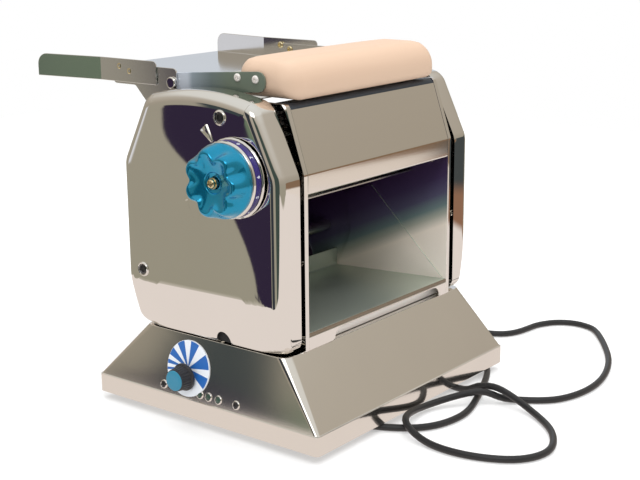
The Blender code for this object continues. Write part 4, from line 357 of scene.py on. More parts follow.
# each finish: colour, second colour, roughness, and what differs from plainFinish's own values
finishSettings = {
    "polished_steel": ((0.93, 0.91, 0.88), (0.88, 0.865, 0.84), 0.02,
        dict(spread=0.015, metallic=1, bump=0.004, fine=160)),
    "satin_steel": ((0.9, 0.87, 0.82), (0.84, 0.81, 0.77), 0.2,
        dict(spread=0.06, metallic=1, bump=0.02, stretch=(0.04, 1, 1), fine=900)),
    "zinc_steel": ((0.7, 0.7, 0.68), (0.62, 0.61, 0.58), 0.26, dict(metallic=1, bump=0.06)),
    "gear_steel": ((0.42, 0.42, 0.43), (0.34, 0.34, 0.36), 0.36, dict(metallic=1, bump=0.08)),
    "bronze": ((0.62, 0.42, 0.2), (0.52, 0.34, 0.17), 0.34, dict(metallic=1, bump=0.08)),
    "beech": ((0.61, 0.445, 0.325), (0.56, 0.39, 0.28), 0.5,
        dict(stretch=(0.06, 1, 1), broad=60, fine=700, bump=0.1)),
    "blue_knob": ((0.01, 0.29, 0.52), (0.01, 0.36, 0.6), 0.17, dict(metallic=0.85, coat=0.5, bump=0.01)),
    "dial_violet": ((0.016, 0.009, 0.12), (0.026, 0.015, 0.15), 0.38, dict()),
    "dial_white": ((0.82, 0.85, 0.9), (0.76, 0.8, 0.86), 0.35, dict()),
    "dial_blue": ((0.018, 0.125, 0.43), (0.024, 0.14, 0.47), 0.3, dict(bump=0.02)),
    "black_plastic": ((0.018, 0.018, 0.02), (0.03, 0.03, 0.034), 0.42, dict(bump=0.1)),
    "blue_cap": ((0.02, 0.21, 0.33), (0.03, 0.23, 0.36), 0.35, dict(bump=0.05)),
    "rubber": ((0.016, 0.016, 0.016), (0.03, 0.03, 0.03), 0.7, dict(bump=0.2)),
    "cord_rubber": ((0.012, 0.012, 0.013), (0.022, 0.022, 0.024), 0.38, dict(bump=0.1)),
    "motor_paint": ((0.05, 0.055, 0.06), (0.08, 0.085, 0.09), 0.45, dict(bump=0.2)),
    "cast_alloy": ((0.5, 0.51, 0.52), (0.42, 0.43, 0.45), 0.5, dict(metallic=0.9, bump=0.4)),
    "board_green": ((0.02, 0.16, 0.07), (0.03, 0.2, 0.09), 0.4, dict(bump=0.1)),
    "base_steel": ((0.9, 0.87, 0.82), (0.84, 0.81, 0.77), 0.1,
        dict(spread=0.03, metallic=1, bump=0.015, stretch=(1, 0.04, 1), fine=900)),
    "panel_steel": ((0.9, 0.87, 0.82), (0.84, 0.81, 0.77), 0.09,
        dict(spread=0.05, metallic=1, bump=0.015, stretch=(0.04, 1, 1), fine=900)),
    "tray_steel": ((0.86, 0.86, 0.86), (0.8, 0.8, 0.8), 0.12,
        dict(spread=0.04, metallic=1, bump=0.01, fine=300)),
    # painted reflection: the chute's green-grey tint stands in for the greenish room that its steel reflects
    "chute_steel": ((0.6, 0.67, 0.58), (0.54, 0.61, 0.53), 0.34,
        dict(spread=0.05, metallic=0.7, bump=0.02, stretch=(1, 0.04, 0.04), fine=700)),
    # painted reflection and shade for the cheeks; its colour is replaced below by a gradient of painted
    # reflection and painted shade
    "cheek_painted_reflection_and_shade": ((0.9, 0.83, 0.74), (0.9, 0.83, 0.74), 0.32, dict(metallic=0.1, bump=0.01, fine=500)),
    # painted reflection for the guard's arms; its colour is replaced below by a gradient of painted room
    # reflection
    "arm_steel": ((0.4, 0.46, 0.42), (0.4, 0.46, 0.42), 0.28, dict(metallic=0.3, bump=0.01, fine=500)),
    # painted shade: dark slate for the upper front panel's top fold, standing in for the shadow under the
    # wooden bar
    "fold_painted_shade": ((0.035, 0.045, 0.06), (0.045, 0.055, 0.07), 0.3, dict(metallic=0.5, bump=0.01)),
    # painted reflection: brown on the chute's front lip, standing in for the brown that the polished lip
    # reflects
    "lip_painted_reflection": ((0.22, 0.17, 0.12), (0.18, 0.14, 0.1), 0.3, dict(metallic=0.4, bump=0.01)),
    # painted shade: dark purple on the steel facing the inside, standing in for the shade within the machine
    "inside_painted_shade": ((0.055, 0.03, 0.065), (0.04, 0.02, 0.05), 0.4, dict(metallic=0.4, bump=0.05)),
    "satin_bright": ((0.9, 0.86, 0.82), (0.86, 0.82, 0.78), 0.28, dict(metallic=0.4, bump=0.02)),
    "screw_brass": ((0.86, 0.74, 0.46), (0.78, 0.66, 0.4), 0.18, dict(metallic=1, bump=0.03)),
    "dark_screw": ((0.12, 0.12, 0.13), (0.08, 0.08, 0.09), 0.28, dict(metallic=1, bump=0.05)),
    "lamp_glass": ((0.02, 0.05, 0.035), (0.03, 0.07, 0.05), 0.08, dict(coat=0.6, bump=0)),
}
finishes = {name: plainFinish(name, *tones, **more)
            for name, (*tones, more) in finishSettings.items()}


def dressNodes():
    for node in nodes.values():
        for slot in node.material_slots:
            label = slot.material.name.split(".")[0]
            slot.material = finishes[label]


dressNodes()
print("CAD nodes dressed")


# Mains lead, along the same points as its solid
lead = {
    "radius": 0.00325,
    "spacing": 0.006,
    "route": (
        (0.1812, 0.07, 0.009), (0.187, 0.07, 0.009), (0.2095, 0.0592, -0.001),
        (0.225, 0.018, -0.004), (0.239, -0.08, -0.004), (0.296, -0.1, -0.004),
        (0.3175, -0.116, -0.004), (0.3225, -0.14, -0.004), (0.305, -0.167, -0.004),
        (0.231, -0.216, -0.004), (0.16, -0.237, -0.004), (0.103, -0.227, -0.004),
        (0.072, -0.1895, -0.0032), (0.054, -0.1665, 0.0044), (0.009, -0.14, -0.001),
        (-0.044, -0.15, 0.0046), (-0.061, -0.182, -0.003), (-0.063, -0.225, -0.004),
        (-0.045, -0.265, -0.004), (-0.012, -0.278, -0.004), (0.028, -0.259, -0.004),
        (0.058, -0.22, -0.002), (0.0652, -0.184, 0.0076), (0.0673, -0.161, 0.0052),
        (0.0692, -0.1415, -0.0034), (0.076, -0.11, -0.004), (0.0985, -0.0765, -0.004),
        (0.128, -0.0725, -0.004), (0.1485, -0.096, -0.004), (0.134, -0.1285, -0.004),
        (0.054, -0.1645, -0.004), (0.005, -0.175, -0.004), (-0.0375, -0.159, -0.004),
        (-0.063, -0.108, -0.004), (-0.055, -0.048, -0.004), (0.035, 0.078, -0.004),
        (0.073, 0.143, -0.0034), (0.085, 0.183, 0.0075), (0.0865, 0.204, 0.0105),
        (0.0865, 0.21165, 0.0105),
    ),
}


def smoothRoute(points, spacing):
    fine = []
    for i in range(len(points) - 1):
        before = points[max(i - 1, 0)]
        start, end = points[i], points[i + 1]
        after = points[min(i + 2, len(points) - 1)]
        for k in range(10):
            t = k / 10
            bend = (2 * start) + (end - before) * t
            bend += (2 * before - 5 * start + 4 * end - after) * t**2
            bend += (3 * start - 3 * end + after - before) * t**3
            fine.append(bend / 2)
    fine.append(points[-1])
    run = [0.0]
    for a, b in zip(fine, fine[1:]):
        run.append(run[-1] + (b - a).length)
    count = round(run[-1] / spacing)
    even = []
    k = 0
    for i in range(count + 1):
        goal = run[-1] * i / count
        while k < len(fine) - 2 and run[k + 1] < goal:
            k += 1
        share = (goal - run[k]) / (run[k + 1] - run[k])
        even.append(fine[k].lerp(fine[k + 1], min(1.0, share)))
    return even


# Strain relief where the lead leaves the base: a flange and a ribbed, tapering sleeve
relief = {
    "flange": 0.0022,
    "ribs": 7,
    "groove": 0.0009,
    "sides": 40,
    "neck": 0.0016,        # how far the sleeve stands out from the lead, at its two ends
    "tip": 0.0008,
    "end": 0.003,
}


def turnedPiece(start, axis, profile, sides, hollow=False):
    # a round piece grown ring by ring along its axis, from (distance, radius) pairs;
    # a hollow one closes by growing its last ring back into the first
    axis, start = Vector(axis).normalized(), Vector(start)
    along, radius = profile[0]
    deselectAll()
    bpy.ops.mesh.primitive_circle_add(vertices=sides, radius=1, fill_type="NOTHING" if hollow else "NGON",
                                      rotation=axis.to_track_quat("Z", "Y").to_euler())
    piece = bpy.context.object
    piece.scale = (radius, radius, radius)
    piece.location = start + axis * along
    applyPlace(piece)
    startEdit(piece)
    if hollow:
        bpy.ops.mesh.select_mode(type="EDGE")
    chooseAll()
    for further, wider in [*profile[1:], profile[0]] if hollow else profile[1:]:
        centre = start + axis * along
        extrudeBy((0, 0, 0))
        bpy.ops.transform.resize(value=(wider / radius,) * 3, center_override=centre)
        bpy.ops.transform.translate(value=axis * (further - along))
        along, radius = further, wider
    endEdit()
    facesOutward(piece)
    return piece


def ringPiece(*shape):
    return turnedPiece(*shape, hollow=True)


def makeRelief():
    low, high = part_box("strain_relief")
    start = (low[0], (low[1] + high[1]) / 2, (low[2] + high[2]) / 2)
    length = high[0] - low[0]
    wide = (high[1] - low[1]) / 2
    neck, tip = lead["radius"] + relief["neck"], lead["radius"] + relief["tip"]
    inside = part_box("base_housing")[1][0] - low[0]
    flange = inside + relief["flange"]
    profile = [(0, neck), (inside, neck), (inside + 0.0001, wide), (flange, wide * 0.96),
               (flange + 0.0008, neck + 0.0006)]
    sleeve = length - profile[-1][0] - relief["end"]
    pitch = sleeve / relief["ribs"]
    for k in range(relief["ribs"]):
        along = length - relief["end"] - sleeve + k * pitch
        size = neck + (tip - neck) * k / relief["ribs"]
        for share, dent in ((0.1, 0), (0.55, 0), (0.65, relief["groove"]), (0.95, relief["groove"])):
            profile.append((along + pitch * share, size - dent))
    profile += [(length - relief["end"], tip), (length, tip - 0.0003)]
    piece = turnedPiece(start, (1, 0, 0), profile, relief["sides"])
    finishPiece(piece, "strainRelief", "cord_rubber", "machine", 40)
    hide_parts("strain_relief")
    return piece


def makeLead(plug, sleeve):
    route = [fromMiddle(*point) for point in lead["route"]]
    points = [route[0]] + smoothRoute(route[1:-1], lead["spacing"]) + [route[-1]]
    curve = bpy.data.curves.new("mainsLead", "CURVE")
    curve.dimensions = "3D"
    curve.bevel_depth = lead["radius"]
    curve.bevel_resolution = 5
    curve.use_fill_caps = True
    spline = curve.splines.new("POLY")
    spline.points.add(len(points) - 1)
    for point, place in zip(spline.points, points):
        point.co = (place.x, place.y, max(place.z, lead["radius"]), 1)
    curve.materials.append(finishes["cord_rubber"])
    piece = bpy.data.objects.new("mainsLead", curve)
    bpy.context.scene.collection.objects.link(piece)
    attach(piece, "machine")
    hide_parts("power_cord")


makeLead(softenNode("power_plug", "mainsPlug", "cord_rubber", "cord_rubber", 0.0015, 3), makeRelief())


# Side covers: one pressed skin, mirrored for the right side
cover = {
    "lower": 0.0014,       # the skin reaches this far below the solid's edge
    "bendUp": 0.1559,      # from the cover's bottom edge to where its front leans back
    "lowBendUp": 0.0459,
    "topUp": 0.2169,
    "topFrontIn": 0.029,
    "topRearIn": 0.031,
    "footRearIn": 0.006,
    "crown": 0.0085,
    "bendRound": 0.02,
    "topRound": 0.018,
    "footRound": 0.0125,
    "lowRound": 0.09,
    "edgeRound": 0.011,
    "dome": 0.002,
    "bottomRound": 0.002,
    "tuckUp": 0.0479,      # below this height the skin draws in
    "tuck": 0.008,
    "wall": 0.0015,
    "rings": 24,
    "openingIn": 0.01,
    "notchY": -0.02,
    "notchRadius": 0.01,
    "notchHeight": 0.0085,
    "notchEnd": 0.005,
    "shaftHole": 0.0075,
    "tuckLaw": 1.5,
    "cornerFade": (0.001, 0.034),
    "longest": 0.012,      # an edge of the outline that is longer is cut
    "cut": 0.009,
    "flatTip": 0.0012,
    "reach": 0.002,        # how far the cutters stand out of the skin
}

# Dark plate a little behind the notch in the left cover's lower edge: painted shade, a dark piece standing in
# for the shadow inside the notch
notchShadePlate = {
    "in": (0.0128, 0.0138),
    "half": 0.014,
    "up": (-0.001, 0.0125),
}


def coverSkin():
    low, high = boxOf("side_cover_left")
    front, rear, bottom, rim = low.y, high.y, low.z - cover["lower"], high.x
    top, bend = bottom + cover["topUp"], bottom + cover["bendUp"]
    arcStart, arcEnd = front + cover["topFrontIn"], rear - cover["topRearIn"]
    footRear = rear - cover["footRearIn"]
    corners = [(Vector((rim, y, z)), cover[size]) for y, z, size in (
        (front, bottom, "footRound"), (front, bend, "bendRound"), (arcStart, top, "topRound"),
        (arcEnd, top, "topRound"), (rear, bend, "bendRound"),
        (rear, bottom + cover["lowBendUp"], "lowRound"), (footRear, bottom, "footRound"))]
    piece = addOutline([corner for corner, radius in corners])
    choose("EDGE", piece, lambda e: all(abs(p.co.z - top) < 1e-6 for p in e.verts))
    bpy.ops.mesh.subdivide(number_cuts=15)

    def raiseCrown(place):
        if abs(place.z - top) < 1e-6:
            share = (place.y - arcStart) / (arcEnd - arcStart)
            place.z += cover["crown"] * 4 * share * (1 - share)
        return place

    movePoints(piece, raiseCrown)
    for corner, radius in corners:
        roundCorner(piece, corner, radius)
    while True:
        # one edge at a time, so that no cut runs across the face
        shape = bmesh.from_edit_mesh(piece.data)
        longest = max(shape.edges, key=lambda e: e.calc_length())
        if longest.calc_length() < cover["longest"]:
            break
        which = longest.index
        cuts = round(longest.calc_length() / cover["cut"])
        choose("EDGE", piece, lambda e: e.index == which)
        bpy.ops.mesh.subdivide(number_cuts=cuts)
    chooseAll()
    face = low.x + cover["dome"]
    extrudeBy((face - rim, 0, 0))
    chooseFaces(piece, lambda f: abs(f.calc_center_median().x - rim) < 1e-6)
    bpy.ops.mesh.delete(type="ONLY_FACE")
    choose("EDGE", piece, lambda e: all(abs(p.co.x - face) < 1e-6 for p in e.verts))
    bpy.ops.mesh.bevel(offset=cover["edgeRound"], segments=10, affect="EDGES", profile=0.5)
    chooseFaces(piece, lambda f: len(f.verts) > 20)
    middle = Vector((face, (front + rear) / 2, (bottom + top) / 2))
    size = 1
    for ring in range(1, cover["rings"] + 1):
        share = 1 - ring / (cover["rings"] + 1)
        extrudeBy((0, 0, 0))
        bpy.ops.transform.resize(value=(1, share / size, share / size), center_override=middle)
        bpy.ops.transform.translate(value=(-cover["dome"] * (size**2 - share**2), 0, 0))
        size = share
    bpy.ops.mesh.poke()
    chooseAll()
    bpy.ops.mesh.remove_doubles(threshold=0.00001)
    tuckFrom = bottom + cover["tuckUp"]

    def drawIn(place):
        if math.hypot(place.y - middle.y, place.z - middle.z) < cover["flatTip"]:
            place.x = face - cover["dome"]
        # the lower edge is nearly sharp, unlike the front and rear ones
        up, inner = place.z - bottom, place.x - face
        if up < cover["edgeRound"] and 0 < inner < cover["edgeRound"] + 1e-5:
            small = cover["bottomRound"]
            left = small - math.sqrt(small**2 - (small - min(max(up, 0), small))**2)
            aside = min(place.y - front, footRear - place.y)
            place.x -= max(0, inner - left) * smoothStep(*cover["cornerFade"], aside)
        if place.z < tuckFrom:
            depth = (tuckFrom - place.z) / cover["tuckUp"]
            weight = min(1.0, (rim - place.x) / (rim - face - cover["edgeRound"] / 2))
            place.x += cover["tuck"] * depth ** cover["tuckLaw"] * weight
        return place

    movePoints(piece, drawIn)
    endEdit()
    facesOutward(piece)
    return piece


def roundCorner(piece, corner, radius):
    # rounds one corner of an outline by the tangent length that its radius gives
    choose("VERT", piece, lambda p: (p.co - corner).length < 1e-5)
    shape = bmesh.from_edit_mesh(piece.data)
    point = [p for p in shape.verts if p.select][0]
    ways = [(e.other_vert(point).co - point.co).normalized() for e in point.link_edges]
    turn = math.pi - ways[0].angle(ways[1])
    bpy.ops.mesh.bevel(offset=radius * math.tan(turn / 2), segments=8, affect="VERTICES", profile=0.5)


def addBox(low, high):
    low, high = Vector(low), Vector(high)
    deselectAll()
    bpy.ops.mesh.primitive_cube_add(size=1, location=(low + high) / 2)
    piece = bpy.context.object
    piece.scale = high - low
    applyPlace(piece)
    return piece


def surfaceAt(piece, start, way):
    # where a straight line first meets a piece, and the way that its surface faces there
    found, place, normal, index = piece.ray_cast(Vector(start), Vector(way).normalized())
    if not found:
        raise ValueError("nothing of " + piece.name + " is met from that place")
    return place, normal


def makeCovers():
    skin = coverSkin()
    pick(skin)
    bpy.ops.object.duplicate()
    other = bpy.context.object
    other.scale = (-1, 1, 1)
    other.location.x = 2 * machineShift.x
    applyPlace(other)
    facesOutward(other)
    covers = {"left": skin, "right": other}
    centre = fromMiddle(0, *knob["centre"])        # of the shaft's hole
    notchY = cover["notchY"] + machineShift.y
    reach, openingIn = cover["reach"], cover["openingIn"]
    for side, sign in bothSides:
        piece = covers[side]
        addModifier(piece, "SOLIDIFY", thickness=cover["wall"], offset=-1)
        low, high = boxOf("side_cover_" + side)
        rim = high.x if side == "left" else low.x
        near, far = sorted((rim - sign * reach, rim + sign * openingIn))
        cutWith(piece, addBox((near, low.y + openingIn, low.z - reach),
                              (far, high.y - openingIn, low.z + 2 * cover["wall"])))
        if side == "left":
            notch = addRod((low.x - reach, notchY, low.z), (high.x - cover["notchEnd"], notchY, low.z), 1)
            notch.scale = (cover["notchHeight"], cover["notchRadius"], 1)
            applyPlace(notch)
            cutWith(piece, notch)
            (start, end), (below, above), half = notchShadePlate["in"], notchShadePlate["up"], notchShadePlate["half"]
            # a dark rubber plate behind the notch, painted shade in place of the notch's shadow
            shadePlate = addBox((low.x + start, notchY - half, low.z + below),
                          (low.x + end, notchY + half, low.z + above))
            finishPiece(shadePlate, "notchShadePlate", "rubber", "machine", 35)
            cutWith(piece, addRod((low.x - reach, centre.y, centre.z), (high.x, centre.y, centre.z),
                                  cover["shaftHole"]))
        finishPiece(piece, "sideCover" + side.capitalize(), "polished_steel", "machine", 32)
        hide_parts("side_cover_" + side)
    return covers


# Thickness knob: seven flutes that fade towards a round foot, and a wide dish with the screw in it
knob = {
    "centre": (-0.045, 0.231),
    "foot": -0.16325,
    "lobes": 7,
    "firstLobe": 204.0,
    "fluteDepth": 0.0058,
    "fluteSharpness": 1.5,
    "fluteFrom": 0.003,
    "fluteTo": 0.0135,
    "rim": 0.0262,
    "dish": 0.0095,
    "dishFrom": 0.0125,
    "dishLaw": 2.2,
    "profile": (
        (0.0, 0.03), (0.0004, 0.0322), (0.0012, 0.0325), (0.0044, 0.0325), (0.005, 0.0322),
        (0.008, 0.0318), (0.011, 0.0313), (0.014, 0.0305), (0.0164, 0.0296), (0.018, 0.0286),
        (0.0191, 0.0274), (0.0195, 0.0262), (0.0193, 0.025), (0.0185, 0.0234), (0.0174, 0.0212),
        (0.0163, 0.0188), (0.0153, 0.0162), (0.0144, 0.0136), (0.0137, 0.0112), (0.0133, 0.0098),
        (0.0128, 0.0092), (0.0118, 0.009), (0.0114, 0.0086), (0.0114, 0.006), (0.0112, 0.0056),
        (0.0004, 0.0056), (0.0, 0.006),
    ),
    "sides": 140,
}


def makeKnob():
    centre = fromMiddle(knob["foot"], *knob["centre"])
    piece = ringPiece(centre, (-1, 0, 0), knob["profile"], knob["sides"])

    def carve(place):
        along = centre.x - place.x
        y, z = place.y - centre.y, place.z - centre.z
        radius = math.hypot(y, z)
        turn = math.atan2(z, -y) - math.radians(knob["firstLobe"])
        valley = (0.5 - 0.5 * math.cos(knob["lobes"] * turn)) ** knob["fluteSharpness"]
        if radius > knob["rim"] - 0.0001:
            depth = knob["fluteDepth"] * valley * smoothStep(knob["fluteFrom"], knob["fluteTo"], along)
        elif radius > knob["dish"] and along > knob["dishFrom"]:
            share = (radius - knob["dish"]) / (knob["rim"] - knob["dish"])
            depth = knob["fluteDepth"] * valley * share ** knob["dishLaw"]
        else:
            return place
        place.y -= y / radius * depth
        place.z -= z / radius * depth
        return place

    startEdit(piece)
    movePoints(piece, carve)
    endEdit()
    finishPiece(piece, "thicknessKnob", "blue_knob", "knob", 50)
    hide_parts("adjuster_knob")


# Screw in the middle of the knob: a pan head with a crossed slot, on a washer
def makeKnobScrew():
    low, high = boxOf("knob_screw")
    centre = fromMiddle(0, *knob["centre"])
    centre.x = high.x
    tall = high.x - low.x
    wide = (high.z - low.z) / 2
    profile = [(0, wide * 0.98), (0.0002, wide), (tall * 0.2, wide), (tall * 0.24, wide * 0.97),
               (tall * 0.25, wide * 0.8), (tall * 0.3, wide * 0.84), (tall * 0.6, wide * 0.84),
               (tall * 0.8, wide * 0.74), (tall * 0.93, wide * 0.52), (tall * 0.99, wide * 0.25),
               (tall, wide * 0.05)]
    piece = turnedPiece(centre, (-1, 0, 0), profile, 40)
    for turn in (0, 90):
        slotBox = addBox((low.x - 0.001, centre.y - wide * 0.55, centre.z - 0.0005),
                         (low.x + tall * 0.35, centre.y + wide * 0.55, centre.z + 0.0005))
        pick(slotBox)
        bpy.ops.transform.rotate(value=math.radians(turn + 25), orient_axis="X", center_override=centre)
        cutWith(piece, slotBox)
    finishPiece(piece, "knobScrew", "screw_brass", "adjuster", 35)
    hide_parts("knob_screw")


# Numbered ring behind the knob: a bright front band and a violet band with the digits 0 to 9
numberRing = {
    "bandStart": 0.0031,
    "radius": 0.0335,
    "inner": 0.03,
    "step": 30,
    "firstDigit": 190,
    "digitSize": 0.005,
    "digitProud": 0.00012,
    "sides": 128,
}


def makeNumberRing():
    low, high = boxOf("dial_ring")
    centre = fromMiddle(0, *knob["centre"])
    centre.x = high.x
    long = high.x - low.x
    meet = long - numberRing["bandStart"]
    radius, inner = numberRing["radius"], numberRing["inner"]
    band = ringPiece(centre, (-1, 0, 0), [
        (0, inner), (0, radius - 0.0006), (0.0002, radius - 0.0002), (0.0005, radius),
        (meet - 0.0004, radius), (meet - 0.0001, radius - 0.0003), (meet, radius - 0.0008),
        (meet, inner)], numberRing["sides"])
    finishPiece(band, "numberBand", "dial_violet", "knob", 35)
    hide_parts("dial_ring")
    bright = ringPiece(centre, (-1, 0, 0), [
        (meet + 0.0001, inner), (meet + 0.0001, radius - 0.0008), (meet + 0.0003, radius - 0.0002),
        (meet + 0.0007, radius), (long - 0.0024, radius - 0.0001), (long - 0.0012, radius - 0.0004),
        (long - 0.0004, radius - 0.001), (long, radius - 0.002), (long, inner)], numberRing["sides"])
    finishPiece(bright, "brightBand", "polished_steel", "knob", 40)
    digits = []
    for count in range(10):
        turn = math.radians(numberRing["firstDigit"] + numberRing["step"] * count)
        outward = Vector((0, -math.cos(turn), math.sin(turn)))
        deselectAll()
        bpy.ops.object.text_add()
        digit = bpy.context.object
        digit.data.body = str(count)
        digit.data.size = numberRing["digitSize"]
        digit.data.extrude = numberRing["digitProud"]
        digit.data.align_x = "CENTER"
        digit.data.align_y = "CENTER"
        digit.data.resolution_u = 3
        bpy.ops.object.convert(target="MESH")
        up = Vector((-1, 0, 0))
        across = up.cross(outward)
        place = Vector((centre.x - meet / 2, centre.y, centre.z)) + outward * radius
        turnTo(digit, place, across, up, outward)
        digits.append(digit)
    deselectAll()
    for digit in digits:
        digit.select_set(True)
    bpy.context.view_layer.objects.active = digits[0]
    bpy.ops.object.join()
    finishPiece(digits[0], "ringDigits", "dial_white", "knob", 0)


# Screws that hold the covers: a bright cup ring round a dark socket head
coverScrew = {
    "places": ((-0.029, 0.281), (0.071, 0.132)),
    "ring": 0.0068,
    "inner": 0.0049,
    "proud": 0.0014,
}


def makeCoverScrews(covers):
    ring, inner, proud = coverScrew["ring"], coverScrew["inner"], coverScrew["proud"]
    ringProfile = [(-0.0004, inner), (-0.0004, ring), (proud * 0.35, ring), (proud * 0.8, ring - 0.0004),
                   (proud, ring - 0.0009), (proud * 0.8, inner + 0.0003), (proud * 0.4, inner)]
    headProfile = [(-0.0004, 0.0046), (0.0004, 0.0046), (0.0007, 0.0042), (0.0008, 0.0027),
                   (0.0001, 0.0024), (0.0001, 0.0001)]
    for side, sign in bothSides:
        for count, (y, z) in enumerate(coverScrew["places"], 1):
            spot, normal = surfaceAt(covers[side], fromMiddle(sign * beyond, y, z), (-sign, 0, 0))
            title = side.capitalize() + str(count)
            finishPiece(ringPiece(spot, normal, ringProfile, 40), "screwRing" + title,
                        "polished_steel", "machine", 40)
            finishPiece(turnedPiece(spot, normal, headProfile, 24), "screwHead" + title,
                        "dark_screw", "machine", 40)


# Pointer for the numbers: a raised wedge on the left cover, aimed at the knob's middle
pointer = {
    "place": (-0.0155, 0.2655),
    "long": 0.0155,
    "wide": 0.0088,
    "tip": 0.0022,
    "proud": 0.0013,
    "edge": 0.0005,
    "sunk": 0.0006,
}


def makePointer(leftCover):
    spot, normal = surfaceAt(leftCover, fromMiddle(-beyond, *pointer["place"]), (1, 0, 0))
    aim = fromMiddle(0, *knob["centre"]) - spot
    aim.x = 0
    aim.normalize()
    across = normal.cross(aim).normalized()
    half, wide, tip = pointer["long"] / 2, pointer["wide"] / 2, pointer["tip"] / 2
    piece = addOutline([spot + aim * along + across * aside - normal * pointer["sunk"] for along, aside in
                        ((-half, wide), (-half, -wide), (half, -tip), (half, tip))])
    chooseAll()
    extrudeBy(normal * (pointer["proud"] + pointer["sunk"]))
    endEdit()
    facesOutward(piece)
    addModifier(piece, "BEVEL", width=pointer["edge"], segments=3)
    finishPiece(piece, "numberPointer", "polished_steel", "machine", 40)


coversMade = makeCovers()
print("side covers made")
makeKnob()
makeKnobScrew()
makeNumberRing()
makeCoverScrews(coversMade)
makePointer(coversMade["left"])
print("thickness knob, number ring and screws made")


# Speed dial on the left slope: a white face with blue wedges that widen with the speed
speedDial = {
    "centre": (0.02, 0.0455),
    "radius": 0.026,
    "thick": 0.0011,
    "edge": 0.0004,
    "wedges": ((256.5, 262), (270, 279), (289.5, 307.5), (322, 342.5), (1.5, 25), (50, 82), (99.3, 126)),
    "sides": 720,
    "bevel": 0.0003,
}


def slopePoint(y, z):
    # a place on the base's left slope
    return surfaceAt(nodes["base_housing"], fromMiddle(-beyond, y, z), (1, 0, 0))


def makeSpeedDial():
    spot, normal = slopePoint(*speedDial["centre"])
    up = Vector((0, 0, 1)) - normal * normal.z
    up.normalize()
    right = up.cross(normal)
    deselectAll()
    bpy.ops.mesh.primitive_circle_add(vertices=speedDial["sides"], radius=speedDial["radius"],
                                      fill_type="NGON")
    piece = bpy.context.object
    turnTo(piece, spot, right, up, normal)
    startEdit(piece)
    chooseAll()
    extrudeBy(normal * (speedDial["thick"] - speedDial["bevel"]))
    extrudeBy(normal * speedDial["bevel"])
    bpy.ops.transform.resize(value=(1 - speedDial["edge"] / speedDial["radius"],) * 3,
                             center_override=spot + normal * speedDial["thick"])
    bpy.ops.mesh.inset(thickness=0.0001)
    bpy.ops.mesh.poke()
    endEdit()
    finishPiece(piece, "speedDial", "dial_white", "machine", 30)
    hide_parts("speed_dial")

    def inWedge(face):
        away = face.calc_center_median() - spot
        if face.normal.dot(normal) < 0.9 or away.dot(normal) < speedDial["thick"] * 0.9:
            return False
        turn = math.degrees(math.atan2(away.dot(right), away.dot(up))) % 360
        return any(start <= turn <= end for start, end in speedDial["wedges"])

    dressSide(piece, "dial_blue", inWedge)


# Round knob of the speed dial: a black grip that tapers from its skirt, with a blue cap
speedKnob = {
    "gap": 0.0006,
    "skirt": 0.0128,
    "front": 0.01,
    "grooves": 24,
    "grooveDepth": 0.0005,
    "cap": 0.0095,
    "hole": 0.0032,
}


def makeSpeedKnob():
    low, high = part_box("speed_knob")
    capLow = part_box("speed_knob_cap")[0]
    normal = Vector((-1, 0, 0))
    start = (Vector(low) + Vector(high)) / 2
    # its foot stays clear of the dial, which stands further out at its lower edge
    foot, slope = slopePoint(start.y - machineShift.y, start.z - speedKnob["skirt"] - machineShift.z)
    start.x = foot.x - (speedDial["thick"] + speedKnob["gap"]) / -slope.x
    tall = start.x - low[0]
    skirt, front, hole = speedKnob["skirt"], speedKnob["front"], speedKnob["hole"]
    profile = [(0, hole), (0, skirt - 0.0004), (0.0003, skirt), (0.0022, skirt), (0.0028, skirt - 0.0006),
               (0.0034, front + 0.0014), (tall * 0.5, front + 0.0009), (tall * 0.9, front + 0.0004),
               (tall - 0.0005, front + 0.0002), (tall, front - 0.0005), (tall, hole)]
    piece = ringPiece(start, normal, profile, speedKnob["grooves"] * 5)

    def flute(place):
        away = place - start
        along = away.dot(normal)
        flat = away - normal * along
        if 0.003 < along < tall - 0.0008 and flat.length > 0.008:
            turn = math.atan2(flat.z, flat.y)
            dent = speedKnob["grooveDepth"] * (0.5 - 0.5 * math.cos(speedKnob["grooves"] * turn))
            place -= flat.normalized() * dent
        return place

    startEdit(piece)
    movePoints(piece, flute)
    endEdit()
    finishPiece(piece, "speedKnob", "black_plastic", "speed_knob", 35)
    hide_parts("speed_knob")
    rise = low[0] - capLow[0]
    cap = turnedPiece(start + normal * (tall - 0.0004), normal, [
        (0, speedKnob["cap"]), (rise * 0.6, speedKnob["cap"]), (rise, speedKnob["cap"] - 0.0004),
        (rise + 0.0003, speedKnob["cap"] - 0.001), (rise + 0.0002, 0.004), (rise + 0.0001, 0.0002)], 56)
    finishPiece(cap, "speedKnobCap", "blue_cap", "speed_knob", 35)
    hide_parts("speed_knob_cap")


# Lamps and small screws low on the left slope
slopeFittings = {
    "lamp": ((0.0029, 0.025), (-0.0076, 0.025), (-0.0196, 0.025)),
    "slopeScrew": ((0.0486, 0.025), (-0.0409, 0.025)),
    "bezel": 0.0042,
    "inner": 0.0029,
}


